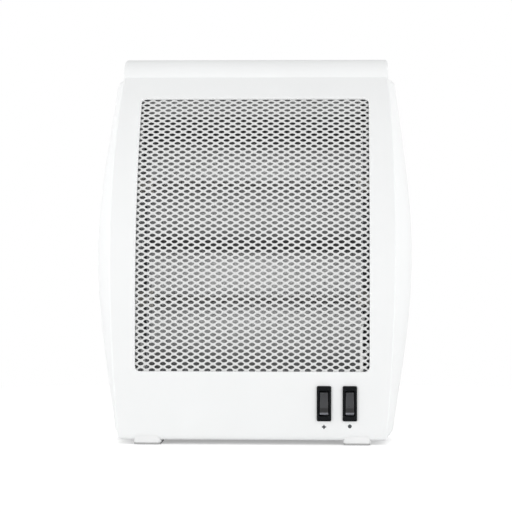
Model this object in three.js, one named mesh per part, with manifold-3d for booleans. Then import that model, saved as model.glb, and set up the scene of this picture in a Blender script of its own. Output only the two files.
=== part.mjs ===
// Two-bar quartz room heater: millimetres, +Z up, +X to the viewer's right, front facing -Y.
// Everything is drawn with the flat lower front at y = 0, and the finished group is then centred.

import * as THREE from 'three';
import { mergeVertices } from 'three/addons/utils/BufferGeometryUtils.js';
import Module from 'manifold-3d';

const wasm = await Module();
wasm.setup();

// ---------------------------------------------------------------- driving dimensions

// Whole body
const DEPTH = 130; // flat lower front to the back of the rear cover
const HEIGHT = 356; // floor to the crown of the top cap
const CAP_HEIGHT = 18; // from the panel's upper edge to the crown
const GAP = 0.3; // clearance between pieces that seat on each other
const WALL = 2.2; // moulded shells
const SHEET = 1; // pressed steel

// Front panel, seen from the front: a rectangle with bowed sides
const PANEL_WIDTH = 260; // across its widest line
const WIDEST_Z = 190;
const SIDE_BOW_RADIUS = 2000;
const PANEL_BOTTOM = 4;
const PANEL_TOP = HEIGHT - CAP_HEIGHT;
const CORNER_CUT = [6.5, 4]; // width and height cut off each bottom corner
const PANEL_RETURN = 12; // depth of the rim that turns back round the panel

// Front panel, seen from the side: a rounded toe, a flat stretch, then an arc that leans back
const TOE_RADIUS = 7;
const LEAN_START = 130;
const TOP_SETBACK = 83.8; // the panel's upper edge behind its flat stretch
const LEAN_RISE = PANEL_TOP - LEAN_START;
const LEAN_RADIUS = (LEAN_RISE ** 2 + TOP_SETBACK ** 2) / (2 * TOP_SETBACK);

// Window and expanded-metal grille
const WINDOW_SIDE = 24.3; // panel left beside the window, at the widest line
const WINDOW_WIDTH = PANEL_WIDTH - 2 * WINDOW_SIDE;
const WINDOW_BOTTOM = 66;
const WINDOW_HEAD = 21; // panel left above the window
const WINDOW_TOP = PANEL_TOP - WINDOW_HEAD;
const WINDOW_RADIUS = 4.5;
const GRILLE_MARGIN = 5; // how far the grille's border passes behind the panel
const GRILLE_SHEET = 1;
const GRILLE_COLUMNS = 7;
const GRILLE_ROWS = 14;
const GRILLE_STRAND = 2.4;
const RIB_THICKNESS = 1.5; // rib that locates the grille's border

// Top cap
const CAP_REAR_RADIUS = 7;
const CAP_CORNER_RADIUS = 5;

// Side cheeks: covers that swell out between the front panel and the rear cover
const CHEEK_SWELL = 17.9; // at mid height
const CHEEK_END_SWELL = 8.5; // at the top and bottom
const SWELL_Z = 165; // where they are fullest
const SHOULDER = 8; // height of the rounding at each end
const CHEEK_RIM = 22; // width of the cheeks' rims, at the widest line
const CHEEK_RIM_X = PANEL_WIDTH / 2 - CHEEK_RIM; // their inner edge

// Rear cover
const REAR_INSET = 4; // each side, narrower than the front panel
const REAR_RETURN = 14;
const REAR_EDGE_RADIUS = 4;
const VENT_SIZE = [64, 3.4];
const VENT_CORNER = 1.2;
const VENT_PITCH = 9;
const VENT_COLUMN_X = 42;
const GRIP_WIDTH = 92;
const GRIP_MOUTH = 21; // height of the finger opening
const GRIP_LIP = 6; // the pocket rises this far behind the opening's upper edge
const GRIP_DEPTH = 19;
const GRIP_DROP = 40; // lower edge of the opening below the cover's upper edge
const GRIP_Z = PANEL_TOP - GRIP_DROP;
const GRIP_CORNER = 3;
const VENT_DROP = 66; // lowest row of the upper louvres below the grip
const VENT_GROUPS = [{ low: 84, rows: 5 }, { low: GRIP_Z - VENT_DROP, rows: 6 }];

// Base plate and feet
const BASE_SHEET = 1.2;
const BASE_FLANGE = 9;
const INTAKE_SIZE = [40, 3.4];
const INTAKE_PITCH = 8;
const FOOT_WIDTH = 25;
const FOOT_LENGTH = 32;
const FOOT_INSET = 13.5; // middle of a foot in from the cheeks' rims
const FOOT_X = CHEEK_RIM_X - FOOT_INSET;
const FOOT_MARGIN = 29; // feet's screws in from the flat front and from the back
const FOOT_RADIUS = 4;
const FOOT_PROUD = 0.8; // the front feet's lips stand this far ahead of the flat front
const FOOT_LIP = 8.5; // height that their lips wrap up the toe
const FOOT_WEB = 1.3; // what a foot's screw head bears on

// Heater chamber
const SHIELD_DROP = 1; // floor of the chamber below the window's lower edge
const SHIELD_FLANGE = 9;
const REFLECTOR_SHEET = 0.8;
const REFLECTOR_SIDE = 6.5; // dark space beside each end of the reflector, inside the window
const REFLECTOR_LENGTH = WINDOW_WIDTH - 2 * REFLECTOR_SIDE;
const TROUGH_RISE = 6; // troughs start this far above the window's lower edge
const TROUGH_DROP = 30; // and end this far below its upper edge
const TROUGH_BOTTOM = WINDOW_BOTTOM + TROUGH_RISE;
const TROUGH_HEIGHT = (WINDOW_TOP - TROUGH_DROP - TROUGH_BOTTOM) / 2;
const TROUGH_DEPTH = 34;
const TROUGH_BACK = 100; // y of the deepest line
const TROUGH_STEPS = 10;
const REFLECTOR_FOOT = 10; // flange that lies on the chamber's floor
const END_FLANGE = 9; // rear flange of the reflector's end plates
const TUBE_RADIUS = 5.5;
const TUBE_BORE = 4.3;
const TUBE_RISE = 3.5; // tubes sit a little above each trough's middle line
const CAP_SOCKET_DEPTH = 7;
const CERAMIC_RADIUS = 7;
const CERAMIC_COLLAR = [8.6, 3]; // radius and length inside the end plate
const CERAMIC_TAIL = 9; // length outside the end plate
const STUD_RADIUS = 1.7;
const STUD_HEAD = [3.6, 1]; // radius and thickness, inside the tube's bore
const NUT = [3.4, 2.5]; // radius and thickness

// Heating coils
const COIL_RADIUS = 3.1;
const COIL_WIRE = 0.45; // wire radius
const COIL_TURNS = 16;
const STEPS_PER_TURN = 8;
const WIRE_SIDES = 5;

// Rocker switches
const SWITCH_Z = 37.5;
const SWITCH_INSET = 53.6; // middle of the pair, in from the panel's widest line
const SWITCH_X = PANEL_WIDTH / 2 - SWITCH_INSET;
const SWITCH_PITCH = 23.2;
const BEZEL = [13, 31.7, 2]; // width, height, how far it stands proud
const BEZEL_CORNER = 1.2;
const BEZEL_CHAMFER = 0.8;
const HOUSING = [11, 28.6, 22]; // width, height, depth behind the panel
const ROCKER_WIDTH = 7.6;
const ROCKER_RADIUS = 10.6;
const ROCKER_PIVOT_Y = 2.2; // behind the flat front
const ROCKER_FACE = 3.8; // pressed half's face ahead of the pivot
const ROCKER_TRAVEL = 20; // degrees between off and on
const TRUNNION = [1.3, 0.8]; // radius and length beyond the rocker's side
const SPADE = [0.8, 4.8, 10]; // thickness, width, length
const SPADE_SOCKET = 2;
const SPADE_OFFSET = 8; // above and below the switch's middle

// Tip-over switch
const TIP_AT = [-52, 88];
const TIP_BODY = [22, 16, 26];
const PLUNGER_RADIUS = 2.6;
const PLUNGER_COLLAR = [4.6, 2];
const PLUNGER_TRAVEL = 5;
const PLUNGER_TAIL = 9; // stem above the collar, inside the spring
const PLUNGER_NOSE = 1; // chamfer at its lower end
const RUNNING_GAP = 0.4;
const TIP_SPRING_RADIUS = 3.7;
const TIP_SPRING_WIRE = 0.4;
const TIP_SPRING_TURNS = 5;

// Wiring
const LEAD_RADIUS = 1.4;
const LEAD_SLOT_INSET = 9; // lead holes in the chamber's floor, in from the cheeks' rims
const LEAD_SLOTS = [LEAD_SLOT_INSET - CHEEK_RIM_X, CHEEK_RIM_X - LEAD_SLOT_INSET];
const LEAD_SLOT_Y = 9; // their front end
const LEAD_SLOT = [9, 24]; // their width and length
const LEAD_SLOT_CORNER = 4;
const BLOCK = [34, 18, 14];
const BLOCK_AT = [66, 92];
const BLOCK_POLES = 3;
const GLAND_AT = [72, 24];
const GLAND_BORE = 4;
const GLAND_WALL = 3;
const GLAND_FLANGE = 10;
const GLAND_LENGTH = 14;
const GLAND_PROUD = 3;
const GLAND_CHAMFER = 1;

// Screws
const SCREW_RADIUS = 1.6;
const SCREW_HEAD = [3.4, 1.6]; // radius and height
const SCREW_CROWN = 0.6; // flat top of the head, as a share of its radius
const SCREW_EDGE = 7.5; // rear screws in from the cover's side
const SCREW_LOW = PANEL_BOTTOM + 20;
const SCREW_HIGH = PANEL_TOP - 16;
const REAR_SCREW_HEIGHTS = [SCREW_LOW, (SCREW_LOW + SCREW_HIGH) / 2, SCREW_HIGH];
const REAR_SCREW_LENGTH = 20;
const FOOT_SCREW_LENGTH = 8;

// How finely round forms are divided
const BOW_STEPS = 10;
const LEAN_STEPS = 10;
const TOE_STEPS = 4;
const FLAT_STEPS = 4;
const CHEEK_COLUMNS = 7;
const SHOULDER_STEPS = 3;
const CAP_NOSE_STEPS = 6;
const CAP_REAR_STEPS = 4;
const CORNER_STEPS = 3;
const BEVEL_STEPS = 2;
const ROUND_SIDES = 12;
const HOLE_SIDES = 10;
const SCREW_SIDES = 8;
const NUT_SIDES = 6;
const ROCKER_SIDES = 40;
const LEAD_STEPS = 16;
const LEAD_SIDES = 6;

// ---------------------------------------------------------------- materials

const finish = (color, roughness, metalness = 0) =>
  new THREE.MeshStandardMaterial({ color, roughness, metalness });

const WHITE_SHELL = finish('#f4f6f6', 0.35);
const WHITE_MESH = finish('#f2f3f2', 0.5, 0.1);
const WHITE_STEEL = finish('#e9ebeb', 0.55, 0.1);
const POLISHED = finish('#d4d6d8', 0.12, 1);
const GALVANISED = finish('#b9bcbe', 0.45, 0.9);
const QUARTZ = finish('#f1f2f0', 0.3);
const WIRE_ALLOY = finish('#6f6a66', 0.5, 0.9);
const CERAMIC = finish('#ece7dc', 0.7);
const STEEL = finish('#9fa2a5', 0.35, 1);
const BLACK_GLOSS = finish('#0d0e10', 0.3);
const BLACK_SATIN = finish('#2a2b2e', 0.45);
const CREAM = finish('#e6e0d2', 0.6);
const SLEEVE = finish('#f3f2ee', 0.75);
const FOOT_WHITE = finish('#eef0f0', 0.6);
const GLAND_GREY = finish('#34363a', 0.6);

// ---------------------------------------------------------------- modelling helpers

const steps = (from, to, count) =>
  Array.from({ length: count + 1 }, (_, i) => from + ((to - from) * i) / count);
const at = (x, y) => new THREE.Vector2(x, y);
const space = (x, y, z) => new THREE.Vector3(x, y, z);
const arc = (cx, cy, radius, from, to, count) =>
  steps(from, to, count).map((a) => at(cx + radius * Math.cos(a), cy + radius * Math.sin(a)));

// A solid for joining and cutting, from any closed geometry
function solid(geometry) {
  const bare = geometry.clone();
  bare.deleteAttribute('normal');
  bare.deleteAttribute('uv');
  const merged = mergeVertices(bare, 1e-4);
  const vertProperties = new Float32Array(merged.attributes.position.array);
  const triVerts = new Uint32Array(merged.index.array);
  return new wasm.Manifold(new wasm.Mesh({ numProp: 3, vertProperties, triVerts }));
}

function geometryOf(manifold) {
  const mesh = manifold.getMesh();
  const geometry = new THREE.BufferGeometry();
  geometry.setAttribute('position', new THREE.BufferAttribute(mesh.vertProperties, 3));
  geometry.setIndex(new THREE.BufferAttribute(mesh.triVerts, 1));
  geometry.computeVertexNormals();
  return geometry;
}

const join = (...solids) => solids.reduce((whole, next) => whole.add(next));
const cut = (whole, ...tools) => tools.reduce((rest, tool) => rest.subtract(tool), whole);
const mirrorX = (manifold) => manifold.mirror([1, 0, 0]);

// Prisms: a shape drawn in the other two axes, run along X, Y or Z
function prism(shape, length, axes, shift, bevel) {
  const options = { depth: length, bevelEnabled: false, ...bevel };
  const geometry = new THREE.ExtrudeGeometry(shape, options);
  geometry.applyMatrix4(new THREE.Matrix4().makeBasis(...axes));
  return solid(geometry.translate(...shift));
}
const X = space(1, 0, 0);
const Y = space(0, 1, 0);
const Z = space(0, 0, 1);
const alongX = (shape, x0, x1) => prism(shape, x1 - x0, [Y, Z, X], [x0, 0, 0]);
const alongY = (shape, y0, y1) => prism(shape, y1 - y0, [X, Z, Y.clone().negate()], [0, y1, 0]);
const alongZ = (shape, z0, z1) => prism(shape, z1 - z0, [X, Y, Z], [0, 0, z0]);

function rectangle(x0, y0, x1, y1) {
  return new THREE.Shape([at(x0, y0), at(x1, y0), at(x1, y1), at(x0, y1)]);
}

function roundedRectangle(x0, y0, x1, y1, radius, count = CORNER_STEPS) {
  const quarter = Math.PI / 2;
  const corner = (cx, cy, turn) => arc(cx, cy, radius, turn * quarter, (turn + 1) * quarter, count);
  return new THREE.Shape([
    ...corner(x1 - radius, y1 - radius, 0),
    ...corner(x0 + radius, y1 - radius, 1),
    ...corner(x0 + radius, y0 + radius, 2),
    ...corner(x1 - radius, y0 + radius, 3),
  ]);
}

const block = (x0, x1, y0, y1, z0, z1) => alongZ(rectangle(x0, y0, x1, y1), z0, z1);

// A round rod or hole along one axis, through the point given in the other two
function rod(axis, cx, cy, radius, from, to, sides = ROUND_SIDES) {
  return { X: alongX, Y: alongY, Z: alongZ }[axis](polygon(cx, cy, radius, sides), from, to);
}

// A turned piece: a closed profile of [radius, height] points about +Z
function turned(profile, sides = ROUND_SIDES) {
  const points = [...profile, profile[0]].map(([radius, height]) => at(radius, height));
  return new THREE.LatheGeometry(points, sides).rotateX(Math.PI / 2);
}

// A solid through closed rings of points, all with as many points, stacked upwards
function loft(rings) {
  const count = rings[0].length;
  const positions = rings.flat().flatMap((p) => [p.x, p.y, p.z]);
  const last = (rings.length - 1) * count;
  const flat = rings.map((ring) => ring.map((p) => at(p.x, p.y)));
  const bottom = THREE.ShapeUtils.triangulateShape(flat[0], []);
  const top = THREE.ShapeUtils.triangulateShape(flat[flat.length - 1], []);
  const index = [
    ...bottom.flatMap(([a, b, c]) => [a, c, b]),
    ...top.flatMap(([a, b, c]) => [last + a, last + b, last + c]),
  ];
  for (let row = 0; row < rings.length - 1; row++) {
    for (let i = 0; i < count; i++) {
      const a = row * count + i;
      const b = row * count + ((i + 1) % count);
      index.push(a, b, b + count, a, b + count, a + count);
    }
  }
  const geometry = new THREE.BufferGeometry();
  geometry.setAttribute('position', new THREE.Float32BufferAttribute(positions, 3));
  geometry.setIndex(index);
  return solid(geometry);
}

const polygon = (cx, cy, radius, sides) =>
  new THREE.Shape(arc(cx, cy, radius, 0, 2 * Math.PI, sides).slice(0, sides));

// A sleeved lead through points chosen by hand
function lead(points) {
  const extrudePath = new THREE.CatmullRomCurve3(points, false, 'centripetal');
  const section = polygon(0, 0, LEAD_RADIUS, LEAD_SIDES);
  return new THREE.ExtrudeGeometry(section, { steps: LEAD_STEPS, extrudePath, bevelEnabled: false });
}

// The least gap between a helix's own turns, measured on the points of its centre line
function printLeastGap(line, wire) {
  let least = Infinity;
  line.forEach((point, i) => {
    for (const other of line.slice(i + STEPS_PER_TURN / 2)) {
      least = Math.min(least, point.distanceTo(other) - 2 * wire);
    }
  });
  console.log(`helix of ${line.length} points: least gap to itself ${least.toFixed(2)} mm`);
}

// One unbroken helix of wire about +Z, from z = 0 to z = length, with flat ends
function helix(radius, wire, turns, length) {
  const count = turns * STEPS_PER_TURN;
  const line = steps(wire, length - wire, count).map((height, i) => {
    const turn = (i / STEPS_PER_TURN) * 2 * Math.PI;
    return space(radius * Math.cos(turn), radius * Math.sin(turn), height);
  });
  const section = arc(0, 0, wire, 0, 2 * Math.PI, WIRE_SIDES).slice(0, WIRE_SIDES);
  const positions = line.flatMap((p) => section.flatMap(({ x: outward, y: rise }) => {
    const reach = 1 + outward / radius;
    return [p.x * reach, p.y * reach, p.z + rise];
  }));
  const index = [];
  for (let i = 0; i < count; i++) {
    for (let k = 0; k < WIRE_SIDES; k++) {
      const a = i * WIRE_SIDES + k;
      const b = i * WIRE_SIDES + ((k + 1) % WIRE_SIDES);
      index.push(a, a + WIRE_SIDES, b, b, a + WIRE_SIDES, b + WIRE_SIDES);
    }
  }
  for (let k = 1; k < WIRE_SIDES - 1; k++) {
    const end = count * WIRE_SIDES;
    index.push(0, k, k + 1, end, end + k + 1, end + k);
  }
  printLeastGap(line, wire);
  const geometry = new THREE.BufferGeometry();
  geometry.setAttribute('position', new THREE.Float32BufferAttribute(positions, 3));
  geometry.setIndex(index);
  geometry.computeVertexNormals();
  return geometry;
}

const heater = new THREE.Group();

function place(name, shape, material, parent = heater) {
  const geometry = shape.isBufferGeometry ? shape : geometryOf(shape);
  const mesh = new THREE.Mesh(geometry, material);
  mesh.name = name;
  parent.add(mesh);
  return mesh;
}

// ---------------------------------------------------------------- the body's outer form

const halfWidth = (z) => PANEL_WIDTH / 2 - (z - WIDEST_Z) ** 2 / (2 * SIDE_BOW_RADIUS);

// How far the front has drawn back from its flat stretch at a height
function frontY(z) {
  const above = Math.max(0, z - LEAN_START);
  const below = Math.max(0, PANEL_BOTTOM + TOE_RADIUS - z);
  const lean = LEAN_RADIUS - Math.sqrt(LEAN_RADIUS ** 2 - above ** 2);
  return lean + TOE_RADIUS - Math.sqrt(TOE_RADIUS ** 2 - below ** 2);
}

// Points up the front, moved back by inset along the surface's normal: [y, z]
function frontCurve(inset, top) {
  const lean = LEAN_RADIUS - inset;
  const sweep = Math.asin((top - LEAN_START) / lean);
  const toeZ = PANEL_BOTTOM + TOE_RADIUS;
  const toe = arc(TOE_RADIUS, toeZ, TOE_RADIUS - inset, 1.5 * Math.PI, Math.PI, TOE_STEPS);
  return [...toe, ...arc(LEAN_RADIUS, LEAN_START, lean, Math.PI, Math.PI - sweep, LEAN_STEPS)];
}

// Heights at which the swelling sides are sectioned, shared with the front's own facets
function bodyLevels(inset) {
  const low = PANEL_BOTTOM + inset;
  const high = PANEL_TOP - inset;
  const flat = steps(PANEL_BOTTOM + TOE_RADIUS, LEAN_START, FLAT_STEPS).slice(1, -1);
  const shoulder = arc(0, PANEL_TOP, SHOULDER, 0, -Math.PI / 2, SHOULDER_STEPS).map((p) => p.y);
  const heights = [...frontCurve(0, PANEL_TOP).map((p) => p.y), ...flat, ...shoulder];
  const kept = heights.filter((z) => z > low + inset / 2 && z < high - inset / 2);
  return [low, ...kept.sort((a, b) => a - b), high];
}

// The bowed outline seen from the front, between two heights
function bowedOutline(inset, low, high, cornerCut = [0, 0]) {
  const [cutWidth, cutHeight] = cornerCut;
  const side = steps(low + cutHeight, high, BOW_STEPS).map((z) => at(halfWidth(z) - inset, z));
  const right = cutWidth > 0 ? [at(halfWidth(low) - inset - cutWidth, low), ...side] : side;
  const left = right.map((p) => at(-p.x, p.y)).reverse();
  return new THREE.Shape([...right, ...left]);
}

const FAR = 2 * DEPTH;
const SIDE = PANEL_WIDTH;

// A sheet that follows the front, from one depth behind its face to another
function frontSheet(near, far) {
  const points = [...frontCurve(near, PANEL_TOP), ...frontCurve(far, PANEL_TOP).reverse()];
  return alongX(new THREE.Shape(points), -SIDE, SIDE);
}

function windowOutline(grow) {
  const half = WINDOW_WIDTH / 2 + grow;
  const radius = WINDOW_RADIUS + grow;
  return roundedRectangle(-half, WINDOW_BOTTOM - grow, half, WINDOW_TOP + grow, radius);
}

// ---------------------------------------------------------------- front panel and grille

const GRILLE_BACK = WALL + GAP + GRILLE_SHEET; // depth of its inner face behind the panel's face
const SWITCH_PLACES = [
  { side: 'left', x: SWITCH_X - SWITCH_PITCH / 2 },
  { side: 'right', x: SWITCH_X + SWITCH_PITCH / 2 },
];

function frontPanel() {
  const rim = frontCurve(0, PANEL_TOP);
  const back = rim.map((p) => at(p.x + PANEL_RETURN, p.y)).reverse();
  const outer = alongX(new THREE.Shape([...rim, ...back]), -SIDE, SIDE)
    .intersect(alongY(bowedOutline(0, PANEL_BOTTOM, PANEL_TOP, CORNER_CUT), -FAR, FAR));

  const hollow = [at(FAR, PANEL_TOP - WALL), at(FAR, PANEL_BOTTOM + WALL)];
  const inner = alongX(new THREE.Shape([...frontCurve(WALL, PANEL_TOP - WALL), ...hollow]), -SIDE, SIDE)
    .intersect(alongY(bowedOutline(WALL, PANEL_BOTTOM, PANEL_TOP, CORNER_CUT), -FAR, FAR));

  const border = GRILLE_MARGIN + GAP;
  const rib = alongY(windowOutline(border + RIB_THICKNESS), -FAR, FAR)
    .subtract(alongY(windowOutline(border), -FAR, FAR))
    .intersect(frontSheet(WALL / 2, GRILLE_BACK));

  const cutouts = SWITCH_PLACES.map(({ x }) => {
    const [width, height] = HOUSING.map((size) => size / 2 + GAP);
    return block(x - width, x + width, -WALL, 3 * WALL, SWITCH_Z - height, SWITCH_Z + height);
  });
  return cut(join(outer.subtract(inner), rib), alongY(windowOutline(0), -FAR, FAR), ...cutouts);
}

// The grille's openings: a staggered field of diamonds, trimmed to a plain border
function grilleOpenings() {
  const pitchX = WINDOW_WIDTH / GRILLE_COLUMNS;
  const pitchZ = (WINDOW_TOP - WINDOW_BOTTOM) / GRILLE_ROWS;
  const diagonal = Math.hypot(pitchX, pitchZ);
  const half = pitchX / 2 - (GRILLE_STRAND * diagonal) / (2 * pitchZ);
  const rise = pitchZ / 2 - (GRILLE_STRAND * diagonal) / (2 * pitchX);
  const diamonds = [];
  for (let column = 0; column <= 2 * GRILLE_COLUMNS; column++) {
    for (let row = column % 2; row <= 2 * GRILLE_ROWS; row += 2) {
      const cx = (column * pitchX) / 2 - WINDOW_WIDTH / 2;
      const cz = WINDOW_BOTTOM + (row * pitchZ) / 2;
      const corners = [at(cx + half, cz), at(cx, cz + rise), at(cx - half, cz), at(cx, cz - rise)];
      diamonds.push(new THREE.Shape(corners));
    }
  }
  return alongY(diamonds, -FAR, FAR).intersect(alongY(windowOutline(-GRILLE_STRAND / 2), -FAR, FAR));
}

function grille() {
  const sheet = alongY(windowOutline(GRILLE_MARGIN), -FAR, FAR)
    .intersect(frontSheet(WALL + GAP, GRILLE_BACK));
  return sheet.subtract(grilleOpenings());
}

// ---------------------------------------------------------------- top cap

function capProfile(inset) {
  const seat = PANEL_TOP + GAP;
  const front = frontY(PANEL_TOP);
  const nose = HEIGHT - seat;
  const rear = DEPTH - CAP_REAR_RADIUS;
  const low = inset > 0 ? seat - WALL : seat;
  return new THREE.Shape([
    at(front + inset, low),
    ...arc(front + nose, seat, nose - inset, Math.PI, Math.PI / 2, CAP_NOSE_STEPS),
    ...arc(rear, HEIGHT - CAP_REAR_RADIUS, CAP_REAR_RADIUS - inset, Math.PI / 2, 0, CAP_REAR_STEPS),
    at(DEPTH - inset, low),
  ]);
}

function capOutline(inset) {
  const half = halfWidth(PANEL_TOP) - inset;
  return roundedRectangle(-half, PANEL_BOTTOM, half, HEIGHT - inset, CAP_CORNER_RADIUS - inset);
}

function topCap() {
  const outer = alongX(capProfile(0), -SIDE, SIDE).intersect(alongY(capOutline(0), -FAR, FAR));
  const inner = alongX(capProfile(WALL), -SIDE, SIDE).intersect(alongY(capOutline(WALL), -FAR, FAR));
  return outer.subtract(inner);
}

// ---------------------------------------------------------------- side cheeks

const CHEEK_REAR_Y = DEPTH - REAR_RETURN - GAP;
const cheekFrontY = (z) => frontY(z) + PANEL_RETURN + GAP;

function cheekX(y, z) {
  const along = (y - cheekFrontY(z)) / (CHEEK_REAR_Y - cheekFrontY(z));
  const reach = Math.min(1, Math.abs(z - SWELL_Z) / (PANEL_TOP - SWELL_Z));
  const swell = CHEEK_END_SWELL + (CHEEK_SWELL - CHEEK_END_SWELL) * (1 - reach ** 2) ** 2;
  const ending = Math.max(0, SHOULDER - (z - PANEL_BOTTOM), SHOULDER - (PANEL_TOP - z)) / SHOULDER;
  const shoulder = Math.sqrt(1 - Math.min(1, ending) ** 2);
  return halfWidth(z) - REAR_INSET * along + swell * shoulder * Math.sin(Math.PI * along);
}

// The space between a plane at one x and the swelling side, inset from it all round
function cheekBody(rimX, inset) {
  const rings = bodyLevels(inset).map((z) => {
    const front = cheekFrontY(z) + inset;
    const rear = CHEEK_REAR_Y - inset;
    const side = steps(front, rear, CHEEK_COLUMNS).map((y) => space(cheekX(y, z) - inset, y, z));
    return [space(rimX, front, z), ...side, space(rimX, rear, z)];
  });
  return loft(rings);
}

function sideCheek() {
  const shell = cheekBody(CHEEK_RIM_X, 0).subtract(cheekBody(CHEEK_RIM_X - WALL, WALL));
  const holes = REAR_SCREW_HEIGHTS.map((z) =>
    rod('Y', rearScrewX(z), z, SCREW_RADIUS + GAP, CHEEK_REAR_Y - 2 * WALL, DEPTH, HOLE_SIDES));
  return cut(shell, ...holes);
}

// ---------------------------------------------------------------- rear cover

const rearScrewX = (z) => halfWidth(z) - REAR_INSET - SCREW_EDGE;

// The cover's outer form, or its hollow when inset, with rounded edges at the back
function coverBody(inset, front) {
  const radius = REAR_EDGE_RADIUS - inset;
  const edge = REAR_EDGE_RADIUS + REAR_INSET;
  const shape = bowedOutline(edge, PANEL_BOTTOM + REAR_EDGE_RADIUS, PANEL_TOP - REAR_EDGE_RADIUS);
  const bevel = { bevelEnabled: true, bevelThickness: radius, bevelSize: radius, bevelSegments: BEVEL_STEPS };
  const back = DEPTH - inset - radius;
  const length = 2 * REAR_RETURN;
  const full = prism(shape, length, [X, Z, Y.clone().negate()], [0, back, 0], bevel);
  return full.intersect(block(-SIDE, SIDE, front, FAR, 0, HEIGHT));
}

function ventSlots() {
  const [halfLong, halfHigh] = VENT_SIZE.map((size) => size / 2);
  const heights = VENT_GROUPS.flatMap(({ low, rows }) =>
    Array.from({ length: rows }, (_, row) => low + row * VENT_PITCH));
  const slots = heights.flatMap((z) => [-VENT_COLUMN_X, VENT_COLUMN_X].map((x) =>
    roundedRectangle(x - halfLong, z - halfHigh, x + halfLong, z + halfHigh, VENT_CORNER, 1)));
  return alongY(slots, DEPTH - 2 * SHEET, DEPTH + SHEET);
}

function gripPocket() {
  const half = GRIP_WIDTH / 2;
  const top = GRIP_Z + GRIP_MOUTH + GRIP_LIP;
  const deep = DEPTH - GRIP_DEPTH;
  const outline = (grow, upper) =>
    roundedRectangle(-half - grow, GRIP_Z - grow, half + grow, upper + grow, GRIP_CORNER + grow);
  const shell = alongY(outline(SHEET, top), deep - SHEET, DEPTH - SHEET / 2);
  const hollow = alongY(outline(0, top), deep, DEPTH - SHEET);
  const mouth = alongY(outline(0, GRIP_Z + GRIP_MOUTH), deep, DEPTH + SHEET);
  return { shell, space: join(hollow, mouth) };
}

function rearCover() {
  const front = DEPTH - REAR_RETURN;
  const shell = coverBody(0, front).subtract(coverBody(SHEET, front - SHEET));
  const pocket = gripPocket();
  const gland = rod('Y', ...GLAND_AT, GLAND_BORE + GLAND_WALL + GAP, DEPTH - 2 * SHEET, DEPTH + SHEET);
  const screws = REAR_SCREW_HEIGHTS.flatMap((z) => [-1, 1].map((side) =>
    rod('Y', side * rearScrewX(z), z, SCREW_RADIUS + GAP, DEPTH - 2 * SHEET, DEPTH + SHEET, HOLE_SIDES)));
  return cut(join(shell, pocket.shell), pocket.space, gland, ...screws, ventSlots());
}

// ---------------------------------------------------------------- base plate and feet

const BASE_TOP = PANEL_BOTTOM + BASE_SHEET;
const BASE_HALF = CHEEK_RIM_X - GAP;
const BASE_FRONT = TOE_RADIUS + PANEL_RETURN + GAP;
const BASE_REAR = DEPTH - REAR_RETURN - GAP;
const FOOT_TOP = PANEL_BOTTOM - GAP;
const FOOT_PLACES = [
  { name: 'front_left', x: -FOOT_X, y: FOOT_MARGIN, tip: FOOT_MARGIN + FOOT_PROUD },
  { name: 'front_right', x: FOOT_X, y: FOOT_MARGIN, tip: FOOT_MARGIN + FOOT_PROUD },
  { name: 'rear_left', x: -FOOT_X, y: DEPTH - FOOT_MARGIN, tip: FOOT_LENGTH / 2 },
  { name: 'rear_right', x: FOOT_X, y: DEPTH - FOOT_MARGIN, tip: FOOT_LENGTH / 2 },
];

function intakeSlots() {
  const [width, height] = INTAKE_SIZE;
  const middle = (BASE_FRONT + BASE_REAR) / 2;
  return [-1, 0, 1].flatMap((column) => [-1, 0, 1].map((row) => {
    const x = column * (width + INTAKE_PITCH);
    const y = middle - INTAKE_PITCH + row * INTAKE_PITCH;
    return block(x - width / 2, x + width / 2, y - height / 2, y + height / 2, 0, HEIGHT);
  }));
}

function basePlate() {
  const floor = block(-BASE_HALF, BASE_HALF, BASE_FRONT, BASE_REAR, PANEL_BOTTOM, BASE_TOP);
  const flangeTop = BASE_TOP + BASE_FLANGE;
  const flanges = [BASE_FRONT, BASE_REAR - BASE_SHEET].map((y) =>
    block(-BASE_HALF, BASE_HALF, y, y + BASE_SHEET, PANEL_BOTTOM, flangeTop));
  const screws = FOOT_PLACES.map(({ x, y }) =>
    rod('Z', x, y, SCREW_RADIUS + GAP, 0, HEIGHT, HOLE_SIDES));
  const plunger = rod('Z', ...TIP_AT, PLUNGER_RADIUS + RUNNING_GAP, 0, HEIGHT);
  return cut(join(floor, ...flanges), ...screws, plunger, ...intakeSlots());
}

// Foot with a counterbore under it, drawn about its screw. The front panel's toe is cut out of its
// block, which leaves the front feet a lip that wraps up the toe.
const FOOT_FLOOR = FOOT_TOP - FOOT_WEB;

function foot(y, tip) {
  const toe = [...frontCurve(-GAP, LEAN_START), at(FAR, LEAN_START), at(FAR, FOOT_TOP)];
  const above = alongX(new THREE.Shape(toe), -FOOT_WIDTH, FOOT_WIDTH).translate([0, -y, 0]);
  const half = FOOT_WIDTH / 2;
  const shape = roundedRectangle(-half, -tip, half, FOOT_LENGTH / 2, FOOT_RADIUS);
  const bore = rod('Z', 0, 0, SCREW_RADIUS + GAP, -HEIGHT, HEIGHT, HOLE_SIDES);
  const counterbore = rod('Z', 0, 0, SCREW_HEAD[0] + GAP, -HEIGHT, FOOT_FLOOR);
  return cut(alongZ(shape, 0, FOOT_LIP), above, bore, counterbore);
}

// A pan-head screw: the head's bearing face at z = 0, its shank upwards
function screw(length) {
  const [headRadius, headHeight] = SCREW_HEAD;
  const crown = headRadius * SCREW_CROWN;
  return turned([
    [0, -headHeight], [crown, -headHeight], [headRadius, crown - headRadius], [headRadius, 0],
    [SCREW_RADIUS, 0], [SCREW_RADIUS, length - SCREW_RADIUS], [0, length],
  ], SCREW_SIDES);
}

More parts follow.
